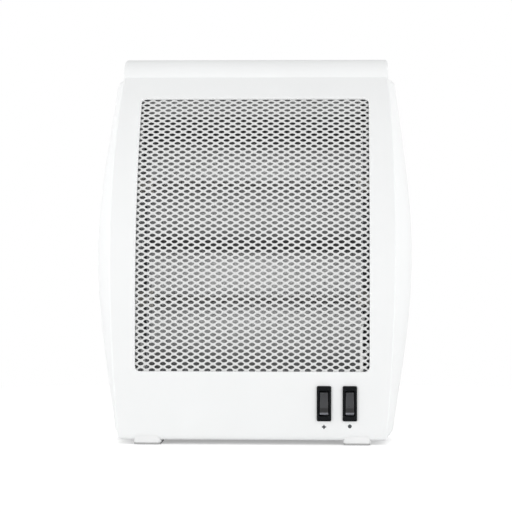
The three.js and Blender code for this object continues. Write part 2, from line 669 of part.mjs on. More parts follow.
function feet() {
  for (const { name, x, y, tip } of FOOT_PLACES) {
    place(`foot_${name}`, foot(y, tip), FOOT_WHITE).position.set(x, y, 0);
    place(`foot_screw_${name}`, screw(FOOT_SCREW_LENGTH), STEEL).position.set(x, y, FOOT_FLOOR - GAP);
  }
}

function rearScrews() {
  REAR_SCREW_HEIGHTS.forEach((z, level) => {
    for (const [side, sign] of [['left', -1], ['right', 1]]) {
      const mesh = place(`rear_screw_${side}_${level + 1}`, screw(REAR_SCREW_LENGTH), STEEL);
      mesh.rotation.x = Math.PI / 2;
      mesh.position.set(sign * rearScrewX(z), DEPTH + GAP, z);
    }
  });
}

// ---------------------------------------------------------------- heater chamber

const SHIELD_TOP = WINDOW_BOTTOM - SHIELD_DROP;
const SHIELD_HALF = CHEEK_RIM_X - GAP;
const REFLECTOR_HALF = REFLECTOR_LENGTH / 2;
const END_PLATE_X = REFLECTOR_HALF + GAP;
const REAR_INNER = DEPTH - SHEET;
const TROUGH_MOUTH = TROUGH_BACK - TROUGH_DEPTH;
const TROUGH_MIDDLES = [0, 1].map((level) => TROUGH_BOTTOM + TROUGH_HEIGHT * (level + 0.5));
const FOCAL_LENGTH = TROUGH_HEIGHT ** 2 / (16 * TROUGH_DEPTH);
const TUBE_Y = TROUGH_BACK - FOCAL_LENGTH;
const TUBES = [
  { level: 'lower', z: TROUGH_MIDDLES[0] + TUBE_RISE },
  { level: 'upper', z: TROUGH_MIDDLES[1] + TUBE_RISE },
];

function heatShield() {
  const front = GRILLE_BACK + GAP;
  const rear = REAR_INNER - GAP;
  const under = SHIELD_TOP - SHEET;
  const plate = block(-SHIELD_HALF, SHIELD_HALF, front, rear, under, SHIELD_TOP);
  const flanges = [front, rear - SHEET].map((y) =>
    block(-SHIELD_HALF, SHIELD_HALF, y, y + SHEET, SHIELD_TOP - SHIELD_FLANGE, SHIELD_TOP));
  const slots = LEAD_SLOTS.map((x) => alongZ(roundedRectangle(
    x - LEAD_SLOT[0] / 2, LEAD_SLOT_Y, x + LEAD_SLOT[0] / 2, LEAD_SLOT_Y + LEAD_SLOT[1], LEAD_SLOT_CORNER,
  ), 0, HEIGHT));
  return cut(join(plate, ...flanges), ...slots);
}

// The reflector's section: a foot, two parabolic troughs and a flange up to the panel's top rim
function reflectorCurve(shift) {
  const troughs = TROUGH_MIDDLES.flatMap((middle) =>
    steps(-1, 1, TROUGH_STEPS).map((t) =>
      at(TROUGH_BACK - TROUGH_DEPTH * t ** 2 + shift, middle + (t * (TROUGH_HEIGHT - 1)) / 2)));
  const top = PANEL_TOP - WALL - GAP;
  return { troughs, top: at(frontY(PANEL_TOP) + WALL + GAP + shift, top) };
}

function reflector() {
  const front = reflectorCurve(0);
  const back = reflectorCurve(REFLECTOR_SHEET);
  const foot = SHIELD_TOP + GAP;
  const shape = new THREE.Shape([
    at(TROUGH_MOUTH - REFLECTOR_FOOT, foot),
    at(TROUGH_MOUTH - REFLECTOR_FOOT, foot + REFLECTOR_SHEET),
    at(TROUGH_MOUTH, foot + REFLECTOR_SHEET),
    ...front.troughs, front.top,
    back.top, ...back.troughs.reverse(),
    at(TROUGH_MOUTH + REFLECTOR_SHEET, foot),
  ]);
  return alongX(shape, -REFLECTOR_HALF, REFLECTOR_HALF);
}

// Right-hand end plate: carries the ceramic holders, with a flange against the rear cover
function endPlate() {
  const low = SHIELD_TOP + GAP;
  const high = TROUGH_BOTTOM + 2 * TROUGH_HEIGHT;
  const rear = REAR_INNER - GAP;
  const front = TROUGH_MOUTH - REFLECTOR_FOOT;
  const corners = [at(front, low), at(rear, low), at(rear, high), at(TROUGH_MOUTH, high)];
  const plate = alongX(new THREE.Shape(corners), END_PLATE_X, END_PLATE_X + SHEET);
  const flange = block(END_PLATE_X, END_PLATE_X + END_FLANGE, rear - SHEET, rear, low, high);
  const holes = TUBES.map(({ z }) =>
    rod('X', TUBE_Y, z, CERAMIC_RADIUS + GAP, 0, END_PLATE_X + 2 * SHEET));
  return cut(join(plate, flange), ...holes);
}

const HOLDER_FACE = END_PLATE_X - GAP; // outer side of the ceramic collar
const HOLDER_INNER = HOLDER_FACE - CERAMIC_COLLAR[1];
const HOLDER_OUTER = END_PLATE_X + SHEET + CERAMIC_TAIL;
const SOCKET_END = HOLDER_INNER + CAP_SOCKET_DEPTH;
const TUBE_HALF = SOCKET_END - GAP;

// Pieces at a tube's end are turned about +Z and laid along X, pointing away from the middle
function layAlongX(mesh, sign, z) {
  mesh.rotation.y = (sign * Math.PI) / 2;
  mesh.position.set(0, TUBE_Y, z);
}

function ceramicHolder() {
  const [collarRadius] = CERAMIC_COLLAR;
  const socket = TUBE_RADIUS + GAP;
  const bore = STUD_RADIUS + GAP;
  return turned([
    [socket, HOLDER_INNER], [collarRadius, HOLDER_INNER], [collarRadius, HOLDER_FACE],
    [CERAMIC_RADIUS, HOLDER_FACE], [CERAMIC_RADIUS, HOLDER_OUTER], [bore, HOLDER_OUTER],
    [bore, SOCKET_END], [socket, SOCKET_END],
  ]);
}

function terminal() {
  const [headRadius, headHeight] = STUD_HEAD;
  const [nutRadius, nutHeight] = NUT;
  const nutFace = HOLDER_OUTER + GAP;
  const outer = nutFace + nutHeight + STUD_RADIUS;
  return turned([
    [0, TUBE_HALF - headHeight], [headRadius, TUBE_HALF - headHeight], [headRadius, TUBE_HALF],
    [STUD_RADIUS, TUBE_HALF], [STUD_RADIUS, nutFace], [nutRadius, nutFace],
    [nutRadius, nutFace + nutHeight], [STUD_RADIUS, nutFace + nutHeight], [STUD_RADIUS, outer], [0, outer],
  ], NUT_SIDES);
}

function quartzTube() {
  return turned([
    [TUBE_BORE, -TUBE_HALF], [TUBE_RADIUS, -TUBE_HALF], [TUBE_RADIUS, TUBE_HALF], [TUBE_BORE, TUBE_HALF],
  ]);
}

function heatingCoil() {
  const length = 2 * (TUBE_HALF - STUD_HEAD[1] - GAP);
  return helix(COIL_RADIUS, COIL_WIRE, COIL_TURNS, length).translate(0, 0, -length / 2);
}

function heatingElements() {
  for (const { level, z } of TUBES) {
    layAlongX(place(`quartz_tube_${level}`, quartzTube(), QUARTZ), 1, z);
    layAlongX(place(`heating_coil_${level}`, heatingCoil(), WIRE_ALLOY), 1, z);
    for (const [side, sign] of [['left', -1], ['right', 1]]) {
      layAlongX(place(`ceramic_holder_${level}_${side}`, ceramicHolder(), CERAMIC), sign, z);
      layAlongX(place(`terminal_${level}_${side}`, terminal(), STEEL), sign, z);
    }
  }
}

// ---------------------------------------------------------------- rocker switches

const HOUSING_BACK = HOUSING[2];
const SPADE_FRONT = HOUSING_BACK - SPADE_SOCKET + GAP;
const WELL_HALF = [ROCKER_WIDTH / 2 + GAP, ROCKER_RADIUS + 2 * GAP];
const BEZEL_BACK = -GAP;
const BEZEL_FRONT = BEZEL_BACK - BEZEL[2];

// A switch is drawn about x = 0 and z = 0, with the panel's face at y = 0
function switchHousing() {
  const bezelShape = (inset) => {
    const [halfWide, halfHigh] = BEZEL.map((size) => size / 2 - inset);
    return roundedRectangle(-halfWide, -halfHigh, halfWide, halfHigh, BEZEL_CORNER);
  };
  const bezel = join(
    alongY(bezelShape(0), BEZEL_FRONT + BEZEL_CHAMFER, BEZEL_BACK),
    alongY(bezelShape(BEZEL_CHAMFER), BEZEL_FRONT, BEZEL_BACK),
  );
  const [width, height] = HOUSING;
  const body = block(-width / 2, width / 2, BEZEL_BACK - GAP, HOUSING_BACK, -height / 2, height / 2);
  const [wellX, wellZ] = WELL_HALF;
  const wellBack = ROCKER_PIVOT_Y + ROCKER_RADIUS + 2 * GAP;
  const well = block(-wellX, wellX, -FAR, wellBack, -wellZ, wellZ);
  const [pinRadius, pinLength] = TRUNNION;
  const pinEnd = ROCKER_WIDTH / 2 + pinLength + GAP;
  const bearing = rod('X', ROCKER_PIVOT_Y, 0, pinRadius + GAP, -pinEnd, pinEnd, HOLE_SIDES);
  const [spadeX, spadeZ] = SPADE.map((size) => size / 2 + GAP);
  const sockets = [-SPADE_OFFSET, SPADE_OFFSET].map((z) =>
    block(-spadeX, spadeX, HOUSING_BACK - SPADE_SOCKET, FAR, z - spadeZ, z + spadeZ));
  return cut(join(bezel, body), well, bearing, ...sockets);
}

// The rocker is drawn about its pivot: a disc cut by the pressed face and the raised face
function rocker() {
  const tilt = THREE.MathUtils.degToRad(ROCKER_TRAVEL);
  const raise = ROCKER_RADIUS * Math.tan(tilt);
  const keep = new THREE.Shape([
    at(-ROCKER_FACE, ROCKER_RADIUS), at(-ROCKER_FACE, 0),
    at(-ROCKER_FACE - raise, -ROCKER_RADIUS), at(ROCKER_RADIUS, -ROCKER_RADIUS),
    at(ROCKER_RADIUS, ROCKER_RADIUS),
  ]);
  const half = ROCKER_WIDTH / 2;
  const disc = rod('X', 0, 0, ROCKER_RADIUS, -half, half, ROCKER_SIDES);
  const [pinRadius, pinLength] = TRUNNION;
  const pin = rod('X', 0, 0, pinRadius, -half - pinLength, half + pinLength, SCREW_SIDES);
  return join(disc.intersect(alongX(keep, -half, half)), pin);
}

function spade() {
  const [thickness, width, length] = SPADE;
  return alongZ(rectangle(-thickness / 2, 0, thickness / 2, length), -width / 2, width / 2);
}

function rockerSwitches() {
  for (const { side, x } of SWITCH_PLACES) {
    place(`switch_housing_${side}`, switchHousing(), BLACK_GLOSS).position.set(x, 0, SWITCH_Z);
    place(`rocker_${side}`, rocker(), BLACK_SATIN).position.set(x, ROCKER_PIVOT_Y, SWITCH_Z);
    for (const [use, z] of [['feed', -SPADE_OFFSET], ['load', SPADE_OFFSET]]) {
      place(`switch_spade_${side}_${use}`, spade(), STEEL).position.set(x, SPADE_FRONT, SWITCH_Z + z);
    }
  }
}

// ---------------------------------------------------------------- tip-over switch

const TIP_FLOOR = BASE_TOP + GAP;
const TIP_ROOF = TIP_FLOOR + TIP_BODY[2] - WALL;
const COLLAR_BOTTOM = BASE_TOP + PLUNGER_TRAVEL + GAP;
const COLLAR_TOP = COLLAR_BOTTOM + PLUNGER_COLLAR[1];

function tipSwitchBody() {
  const [width, length, height] = TIP_BODY;
  const [cx, cy] = TIP_AT;
  const body = block(
    cx - width / 2, cx + width / 2, cy - length / 2, cy + length / 2, TIP_FLOOR, TIP_FLOOR + height);
  return cut(body, rod('Z', cx, cy, PLUNGER_COLLAR[0] + RUNNING_GAP, 0, TIP_ROOF));
}

function plunger() {
  const [collarRadius] = PLUNGER_COLLAR;
  const stem = TIP_SPRING_RADIUS - TIP_SPRING_WIRE - RUNNING_GAP;
  return turned([
    [0, 0], [PLUNGER_RADIUS - PLUNGER_NOSE, 0], [PLUNGER_RADIUS, PLUNGER_NOSE],
    [PLUNGER_RADIUS, COLLAR_BOTTOM], [collarRadius, COLLAR_BOTTOM], [collarRadius, COLLAR_TOP],
    [stem, COLLAR_TOP], [stem, COLLAR_TOP + PLUNGER_TAIL], [0, COLLAR_TOP + PLUNGER_TAIL],
  ]);
}

function tipOverSwitch() {
  const [x, y] = TIP_AT;
  place('tip_switch_body', tipSwitchBody(), CREAM);
  place('tip_plunger', plunger(), BLACK_SATIN).position.set(x, y, 0);
  const length = TIP_ROOF - COLLAR_TOP - 2 * GAP;
  place('tip_spring', helix(TIP_SPRING_RADIUS, TIP_SPRING_WIRE, TIP_SPRING_TURNS, length), STEEL)
    .position.set(x, y, COLLAR_TOP + GAP);
}

// ---------------------------------------------------------------- wiring

function terminalBlock() {
  const [width, length, height] = BLOCK;
  const [cx, cy] = BLOCK_AT;
  const low = BASE_TOP + GAP;
  const pole = width / BLOCK_POLES;
  const body = block(cx - width / 2, cx + width / 2, cy - length / 2, cy + length / 2, low, low + height);
  const wells = Array.from({ length: BLOCK_POLES }, (_, i) => cx - width / 2 + pole * (i + 0.5))
    .flatMap((x) => [
      rod('Y', x, low + height / 2, LEAD_RADIUS + GAP, cy - length, cy + length, SCREW_SIDES),
      rod('Z', x, cy, pole / 4, low + height / 2, HEIGHT, SCREW_SIDES),
    ]);
  return cut(body, ...wells);
}

// Bushing for the supply cord, turned about its bore with the rear cover's face at height 0
function cableGland() {
  const outer = GLAND_BORE + GLAND_WALL;
  return turned([
    [GLAND_BORE, GLAND_PROUD], [GLAND_BORE, GLAND_PROUD - GLAND_LENGTH],
    [outer, GLAND_PROUD - GLAND_LENGTH], [outer, GAP], [GLAND_FLANGE, GAP],
    [GLAND_FLANGE, GLAND_PROUD - GLAND_CHAMFER], [GLAND_FLANGE - GLAND_CHAMFER, GLAND_PROUD],
  ]);
}

function wiring() {
  place('terminal_block', terminalBlock(), CREAM);
  const gland = place('cable_gland', cableGland(), GLAND_GREY);
  gland.rotation.x = -Math.PI / 2;
  gland.position.set(GLAND_AT[0], DEPTH, GLAND_AT[1]);

  const [lower, upper] = TUBES;
  const studEnd = HOLDER_OUTER + 2 * GAP + NUT[1] + STUD_RADIUS;
  const spadeEnd = SPADE_FRONT + SPADE[2] + GAP;
  const [leftSwitch, rightSwitch] = SWITCH_PLACES.map(({ x }) => x);
  const load = SWITCH_Z + SPADE_OFFSET;
  const feed = SWITCH_Z - SPADE_OFFSET;
  const blockFront = BLOCK_AT[1] - BLOCK[1] / 2 - GAP;
  const blockZ = BASE_TOP + GAP + BLOCK[2] / 2;
  const pole = (i) => BLOCK_AT[0] + (i * BLOCK[0]) / BLOCK_POLES;
  const tipFront = TIP_AT[1] - TIP_BODY[1] / 2 - GAP;
  const [, slotX] = LEAD_SLOTS;
  const through = (x, y) => [[x, y, SHIELD_TOP - 9], [x, y, SHIELD_TOP + 7]];
  const nutSide = HOLDER_OUTER + GAP + NUT[1] / 2;
  const leads = {
    lead_lower_right: [
      [rightSwitch, spadeEnd, load], [rightSwitch, spadeEnd + 4, load + 1], [slotX - 3, 30, 49],
      ...through(slotX, 14), [slotX + 0.5, 14, 90], [slotX + 1.5, 26, 107],
      [slotX + 7, 50, 121], [studEnd + 3, TUBE_Y - 8, lower.z - 1], [studEnd + 4, TUBE_Y, lower.z],
      [studEnd, TUBE_Y, lower.z],
    ],
    lead_upper_right: [
      [leftSwitch, spadeEnd, load], [leftSwitch, spadeEnd + 6, load + 1], [slotX - 15, 42, 50],
      ...through(slotX, 27), [slotX + 7, 38, 86], [studEnd + 6, 62, 110],
      [studEnd + 11, TUBE_Y + 6, lower.z + 21], [studEnd + 11, TUBE_Y + 4, upper.z - 32],
      [studEnd + 6, TUBE_Y + 1, upper.z - 6], [studEnd + 4, TUBE_Y, upper.z], [studEnd, TUBE_Y, upper.z],
    ],
    lead_left_jumper: [
      [-studEnd, TUBE_Y, upper.z], [-studEnd - 4, TUBE_Y, upper.z], [-studEnd - 6, TUBE_Y, upper.z - 8],
      [-studEnd - 8, TUBE_Y, (upper.z + lower.z) / 2], [-studEnd - 6, TUBE_Y, lower.z + 8],
      [-studEnd - 4, TUBE_Y, lower.z], [-studEnd, TUBE_Y, lower.z],
    ],
    lead_neutral: [
      [pole(-1), blockFront, blockZ], [pole(-1), blockFront - 5, blockZ + 1], [42, 66, 22], [0, 56, 30],
      [15 - slotX, 30, 46], ...through(-slotX, 18), [-slotX - 3, 26, 88], [-nutSide, 44, 112],
      [-nutSide, TUBE_Y - 12, lower.z - 1], [-nutSide, TUBE_Y - NUT[0] - GAP, lower.z],
    ],
    lead_supply: [
      [pole(0), blockFront, blockZ], [pole(0), blockFront - 5, blockZ - 1], [52, 68, 9], [0, 72, 9],
      [TIP_AT[0] + 6, tipFront - 8, 10], [TIP_AT[0], tipFront - 4, 11], [TIP_AT[0], tipFront, 11],
    ],
    lead_switch_feed: [
      [TIP_AT[0] - 6, tipFront, 24], [TIP_AT[0] - 6, tipFront - 8, 24], [-20, 60, 20], [30, 44, 18],
      [leftSwitch - 6, spadeEnd + 7, 22], [leftSwitch, spadeEnd + 5, feed], [leftSwitch, spadeEnd, feed],
    ],
  };
  for (const [name, points] of Object.entries(leads)) {
    place(name, lead(points.map((p) => space(...p))), SLEEVE);
  }
}

// ---------------------------------------------------------------- assembly

place('front_panel', frontPanel(), WHITE_SHELL);
place('grille', grille(), WHITE_MESH);
place('top_cap', topCap(), WHITE_SHELL);
const cheek = sideCheek();
place('side_cheek_right', cheek, WHITE_SHELL);
place('side_cheek_left', mirrorX(cheek), WHITE_SHELL);
place('rear_cover', rearCover(), WHITE_STEEL);
place('base_plate', basePlate(), WHITE_STEEL);
feet();
rearScrews();
place('heat_shield', heatShield(), GALVANISED);
place('reflector', reflector(), POLISHED);
const endRight = endPlate();
place('reflector_end_right', endRight, GALVANISED);
place('reflector_end_left', mirrorX(endRight), GALVANISED);
heatingElements();
rockerSwitches();
tipOverSwitch();
wiring();

// The origin is the middle of the footprint, on the floor
const bounds = new THREE.Box3().setFromObject(heater, true);
const middle = bounds.getCenter(new THREE.Vector3());
heater.position.set(-middle.x, -middle.y, -bounds.min.z);
heater.updateMatrixWorld(true);

export default heater;
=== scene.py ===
# Two-bar quartz room heater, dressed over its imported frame.
# Shapes are drawn in millimetres with the flat lower front at y = 0, then placed in the frame in metres.

from math import asin, atan2, cos, hypot, pi, radians, sin, sqrt, tan, tau

import bmesh
import bpy
from mathutils import Matrix, Vector


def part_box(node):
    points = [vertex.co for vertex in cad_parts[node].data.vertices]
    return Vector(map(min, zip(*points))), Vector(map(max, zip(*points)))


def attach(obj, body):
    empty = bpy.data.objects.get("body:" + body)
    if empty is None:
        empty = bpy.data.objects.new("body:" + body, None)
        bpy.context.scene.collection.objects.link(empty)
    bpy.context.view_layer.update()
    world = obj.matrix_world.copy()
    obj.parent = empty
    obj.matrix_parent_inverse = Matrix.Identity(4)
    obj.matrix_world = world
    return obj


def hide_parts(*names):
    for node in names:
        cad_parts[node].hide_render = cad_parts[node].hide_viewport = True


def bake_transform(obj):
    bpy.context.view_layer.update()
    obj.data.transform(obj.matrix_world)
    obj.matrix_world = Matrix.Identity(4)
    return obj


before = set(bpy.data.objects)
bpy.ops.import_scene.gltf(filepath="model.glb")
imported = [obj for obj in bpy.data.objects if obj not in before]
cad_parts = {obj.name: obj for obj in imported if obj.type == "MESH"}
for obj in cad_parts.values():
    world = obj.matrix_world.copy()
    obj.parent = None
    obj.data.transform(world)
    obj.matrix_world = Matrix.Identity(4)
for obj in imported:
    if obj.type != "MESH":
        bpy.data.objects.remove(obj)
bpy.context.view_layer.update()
MM = 0.001
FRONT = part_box("front_panel")[0].y  # frame y of the flat lower front

# ---- driving dimensions, as in the frame


def extent(node, axis):
    """Lowest and highest coordinate of a frame node along an axis, in drawing millimetres."""
    shift = FRONT if axis == 1 else 0.0
    return tuple((corner[axis] - shift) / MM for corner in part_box(node))


def middle(node, axis):
    return sum(extent(node, axis)) / 2


GAP = 0.3
WALL = 2.2
PANEL_BOTTOM, PANEL_TOP = extent("front_panel", 2)
PANEL_HALF = extent("front_panel", 0)[1]
TOP_SETBACK = extent("top_cap", 1)[0]  # the panel's upper edge behind its flat stretch
CAP_BOTTOM, HEIGHT = extent("top_cap", 2)
DEPTH = extent("rear_cover", 1)[1]
WIDEST_Z = 190.0
BOW_RADIUS = 2000.0
PANEL_RETURN = 12.0
TOE_RADIUS = extent("base_plate", 1)[0] - PANEL_RETURN - GAP
TOE_POWER = 4.0  # 2 would round the toe as a circle; more fills its corner out
LEAN_START = 130.0
LEAN_RISE = PANEL_TOP - LEAN_START
LEAN_RADIUS = (LEAN_RISE**2 + TOP_SETBACK**2) / (2 * TOP_SETBACK)
GRILLE_MARGIN = 5.0
WINDOW_HALF = extent("grille", 0)[1] - GRILLE_MARGIN
WINDOW_BOTTOM = extent("grille", 2)[0] + GRILLE_MARGIN
WINDOW_TOP = extent("grille", 2)[1] - GRILLE_MARGIN
WINDOW_RADIUS = 4.5
CHEEK_RIM_X = extent("side_cheek_right", 0)[0]
CHEEK_REAR_Y = extent("side_cheek_right", 1)[1]
CHEEK_SWELL = 17.9
END_SWELL = 8.5
SWELL_Z = 165.0
SHOULDER = 8.0
CHEEK_TAPER = 4.0  # how much narrower the body is at the back
TROUGH_HEIGHT = middle("quartz_tube_upper", 2) - middle("quartz_tube_lower", 2)
TROUGH_TOP = extent("reflector_end_right", 2)[1]
TROUGH_BOTTOM = TROUGH_TOP - 2 * TROUGH_HEIGHT

# ---- the body's outer form


def half_width(z):
    return PANEL_HALF - (z - WIDEST_Z) ** 2 / (2 * BOW_RADIUS)


def front_y(z):
    above = max(0.0, z - LEAN_START)
    below = min(1.0, max(0.0, PANEL_BOTTOM + TOE_RADIUS - z) / TOE_RADIUS)
    lean = LEAN_RADIUS - sqrt(LEAN_RADIUS**2 - above**2)
    return lean + TOE_RADIUS - TOE_RADIUS * (1 - below**TOE_POWER) ** (1 / TOE_POWER)


TOE_LENGTH = TOE_RADIUS * pi / 2
FLAT_END = TOE_LENGTH + LEAN_START - PANEL_BOTTOM - TOE_RADIUS
LEAN_END = FLAT_END + LEAN_RADIUS * asin(LEAN_RISE / LEAN_RADIUS)


def up_front(s, depth=0.0):
    """(y, z) at arc length s up the front's face, and at a depth behind it along its normal."""
    if s < TOE_LENGTH:
        a = pi / 2 - s / TOE_RADIUS
        r, fullness = TOE_RADIUS - depth, 2 / TOE_POWER
        y = TOE_RADIUS - r * cos(a) ** fullness
        return y, PANEL_BOTTOM + TOE_RADIUS - r * sin(a) ** fullness
    if s < FLAT_END:
        return depth, PANEL_BOTTOM + TOE_RADIUS + s - TOE_LENGTH
    a = (s - FLAT_END) / LEAN_RADIUS
    r = LEAN_RADIUS - depth
    return LEAN_RADIUS - r * cos(a), LEAN_START + r * sin(a)


def arc_length(z):
    if z > LEAN_START:
        return FLAT_END + LEAN_RADIUS * asin((z - LEAN_START) / LEAN_RADIUS)
    if z > PANEL_BOTTOM + TOE_RADIUS:
        return TOE_LENGTH + z - PANEL_BOTTOM - TOE_RADIUS
    below = (PANEL_BOTTOM + TOE_RADIUS - z) / TOE_RADIUS
    return TOE_RADIUS * (pi / 2 - asin(below ** (TOE_POWER / 2)))


def mix(a, b, t):
    return a + (b - a) * t


def between(a, b, share):
    """The point at a share of the way from a to b."""
    return tuple(mix(p, q, share) for p, q in zip(a, b))


def around(count):
    """Angles of evenly spaced points on a circle."""
    return [tau * k / count for k in range(count)]


def steps(start, end, count):
    return [mix(start, end, i / count) for i in range(count + 1)]


def quarter(count, start=0, end=1):
    """Sine and cosine at even steps of a quarter turn."""
    for a in steps(start, end, count):
        yield sin(a * pi / 2), cos(a * pi / 2)


def arc(cx, cy, radius, start, end, count):
    """Points on a circle, angles in quarter turns."""
    return [
        (cx + radius * cos(a * pi / 2), cy + radius * sin(a * pi / 2))
        for a in steps(start, end, count)
    ]


# ---- meshes


def drawn_mesh(name, verts, faces, weld=True):
    """A mesh from points in drawing millimetres, its faces turned outwards."""
    mesh = bpy.data.meshes.new(name)
    mesh.from_pydata([(x * MM, FRONT + y * MM, z * MM) for x, y, z in verts], [], faces)
    bm = bmesh.new()
    bm.from_mesh(mesh)
    if weld:
        bmesh.ops.remove_doubles(bm, verts=bm.verts, dist=1e-6)
        bmesh.ops.dissolve_degenerate(bm, dist=1e-7, edges=bm.edges)
    bmesh.ops.recalc_face_normals(bm, faces=bm.faces)
    bm.to_mesh(mesh)
    bm.free()
    return mesh


def placed(name, data):
    obj = bpy.data.objects.new(name, data)
    bpy.context.scene.collection.objects.link(obj)
    return obj


def finish_piece(name, mesh, finish, body="root", node=None, sharp=38):
    """Puts a mesh in the scene in a named finish, on its body and in its node's place."""
    obj = placed(name, mesh)
    mesh.shade_smooth()
    mesh.set_sharp_from_angle(angle=radians(sharp))
    mesh.materials.clear()
    mesh.materials.append(FINISHES[finish])
    if body:
        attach(obj, body)
    if node:
        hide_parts(node)
    return obj


def build(name, shape, finish, **place):
    """A piece from a shape, which is a list of drawing points and one of faces."""
    return finish_piece(name, drawn_mesh(name, *shape), finish, **place)


def bevel(obj, width, segments=2, angle=38):
    mod = obj.modifiers.new("edge", "BEVEL")
    mod.width, mod.segments = width * MM, segments
    mod.limit_method, mod.angle_limit = "ANGLE", radians(angle)
    mod.use_clamp_overlap = True
    return obj


def tube_faces(rings, count, closed=True):
    """Quads between rings of count points each, joined in order."""
    faces = []
    for row in range(rings - 1):
        for i in range(count if closed else count - 1):
            a, b = row * count + i, row * count + (i + 1) % count
            faces.append((a, b, b + count, a + count))
    return faces


def loft(rings, caps=True, loop=False):
    """Verts and faces of closed rings; loop joins the last ring to the first."""
    count = len(rings[0])
    verts = [p for ring in rings for p in ring]
    faces = tube_faces(len(rings), count)
    last = (len(rings) - 1) * count
    if loop:
        for i in range(count):
            faces.append((last + i, last + (i + 1) % count, (i + 1) % count, i))
    elif caps:
        faces.append(tuple(range(count)))
        faces.append(tuple(last + i for i in range(count)))
    return verts, faces


def turn(profile, sides, place):
    """A turned solid: closed profile of (radius, height), mapped by place(u, v, height)."""
    rings = []
    for radius, height in profile:
        angles = around(sides)
        rings.append([place(radius * cos(a), radius * sin(a), height) for a in angles])
    return loft(rings, caps=False, loop=profile[0][0] > 0)


def joined(*shapes):
    """Several shapes as one."""
    verts, faces = [], []
    for more_verts, more_faces in shapes:
        start = len(verts)
        verts += more_verts
        faces += [tuple(start + i for i in face) for face in more_faces]
    return verts, faces


def boolean(obj, cutter, sharp=None):
    """Cuts a closed mesh out of a piece now, with the exact solver, and marks sharp edges afresh."""
    mod = obj.modifiers.new("cut", "BOOLEAN")
    mod.operation, mod.solver, mod.object = "DIFFERENCE", "EXACT", cutter
    graph = bpy.context.evaluated_depsgraph_get()
    cut = bpy.data.meshes.new_from_object(obj.evaluated_get(graph))
    obj.modifiers.remove(mod)
    obj.data = cut
    bpy.data.objects.remove(cutter)
    if sharp:
        cut.set_sharp_from_angle(angle=radians(sharp))


def cutter(shapes):
    """One mesh object of several closed prisms; each is (outline of (x, z), y0, y1)."""
    verts, faces = [], []
    for outline, y0, y1 in shapes:
        start, n = len(verts), len(outline)
        verts += [(x, y0, z) for x, z in outline] + [(x, y1, z) for x, z in outline]
        faces += [tuple(start + i for i in range(n)), tuple(start + n + i for i in range(n))]
        for i in range(n):
            j = (i + 1) % n
            faces.append((start + i, start + j, start + n + j, start + n + i))
    return placed("cutter", drawn_mesh("cutter", verts, faces, weld=False))


def rounded(x0, z0, x1, z1, r, count=5):
    """A rounded rectangle as a ring of (x, z), with corners of radius r."""
    corners = ((x1 - r, z1 - r), (x0 + r, z1 - r), (x0 + r, z0 + r), (x1 - r, z0 + r))
    return [point for k, (x, z) in enumerate(corners) for point in arc(x, z, r, k, k + 1, count)]


def circle(cx, cz, radius, sides):
    return arc(cx, cz, radius, 0, 4, sides)[:-1]


# ---- materials


def nodes_of(name):
    mat = bpy.data.materials.new(name)
    mat.use_nodes = True
    return mat, mat.node_tree, mat.node_tree.nodes["Principled BSDF"]


def link(a, b):
    a.id_data.links.new(a, b)


def add(tree, kind, **values):
    """A new node, with the numbers of its named sockets."""
    node = tree.nodes.new("ShaderNode" + kind)
    for name, value in values.items():
        node.inputs[name].default_value = value
    return node


def coordinates(tree, scale=(1, 1, 1), rotation=(0, 0, 0)):
    mapping = add(tree, "Mapping", Scale=scale, Rotation=rotation)
    link(add(tree, "TexCoord").outputs["Object"], mapping.inputs["Vector"])
    return mapping.outputs["Vector"]


def height_in(vector):
    split = add(vector.id_data, "SeparateXYZ")
    link(vector, split.inputs["Vector"])
    return split.outputs["Z"]


def noise(vector, scale, detail=3.0, roughness=0.55):
    node = add(vector.id_data, "TexNoise", Scale=scale, Detail=detail, Roughness=roughness)
    link(vector, node.inputs["Vector"])
    return node.outputs["Fac"]


def ramp(value, stops):
    node = add(value.id_data, "ValToRGB")
    band = node.color_ramp
    while len(band.elements) < len(stops):
        band.elements.new(0.5)
    for element, (position, colour) in zip(band.elements, stops):
        element.position = position
        element.color = (*colour, 1)
    link(value, node.inputs["Fac"])
    return node.outputs["Color"]


def span(value, low, high, source=(0.3, 0.7)):
    node = add(value.id_data, "MapRange")
    node.inputs["From Min"].default_value, node.inputs["From Max"].default_value = source
    node.inputs["To Min"].default_value, node.inputs["To Max"].default_value = low, high
    link(value, node.inputs["Value"])
    return node.outputs["Result"]


def bump(shader, heights):
    """Stacks bumps; heights is a list of (value, distance in mm, strength)."""
    normal = None
    for value, distance, strength in heights:
        node = add(shader.id_data, "Bump", Distance=distance * MM, Strength=strength)
        link(value, node.inputs["Height"])
        if normal:
            link(normal, node.inputs["Normal"])
        normal = node.outputs["Normal"]
    link(normal, shader.inputs["Normal"])


def math_node(operation, a, b):
    node = add(a.id_data, "Math")
    node.operation = operation
    link(a, node.inputs[0])
    if isinstance(b, float):
        node.inputs[1].default_value = b
    else:
        link(b, node.inputs[1])
    return node.outputs["Value"]


def dress(shader, colour, rough, bumps, **values):
    """Joins a finish's nodes to its shader: colour is (value, stops), rough is (value, low, high, source)."""
    link(ramp(*colour), shader.inputs["Base Color"])
    link(span(*rough), shader.inputs["Roughness"])
    bump(shader, bumps)
    for name, value in values.items():
        shader.inputs[name.replace("_", " ")].default_value = value


def tint(colour, factor):
    return tuple(min(1.0, c * factor) for c in colour)


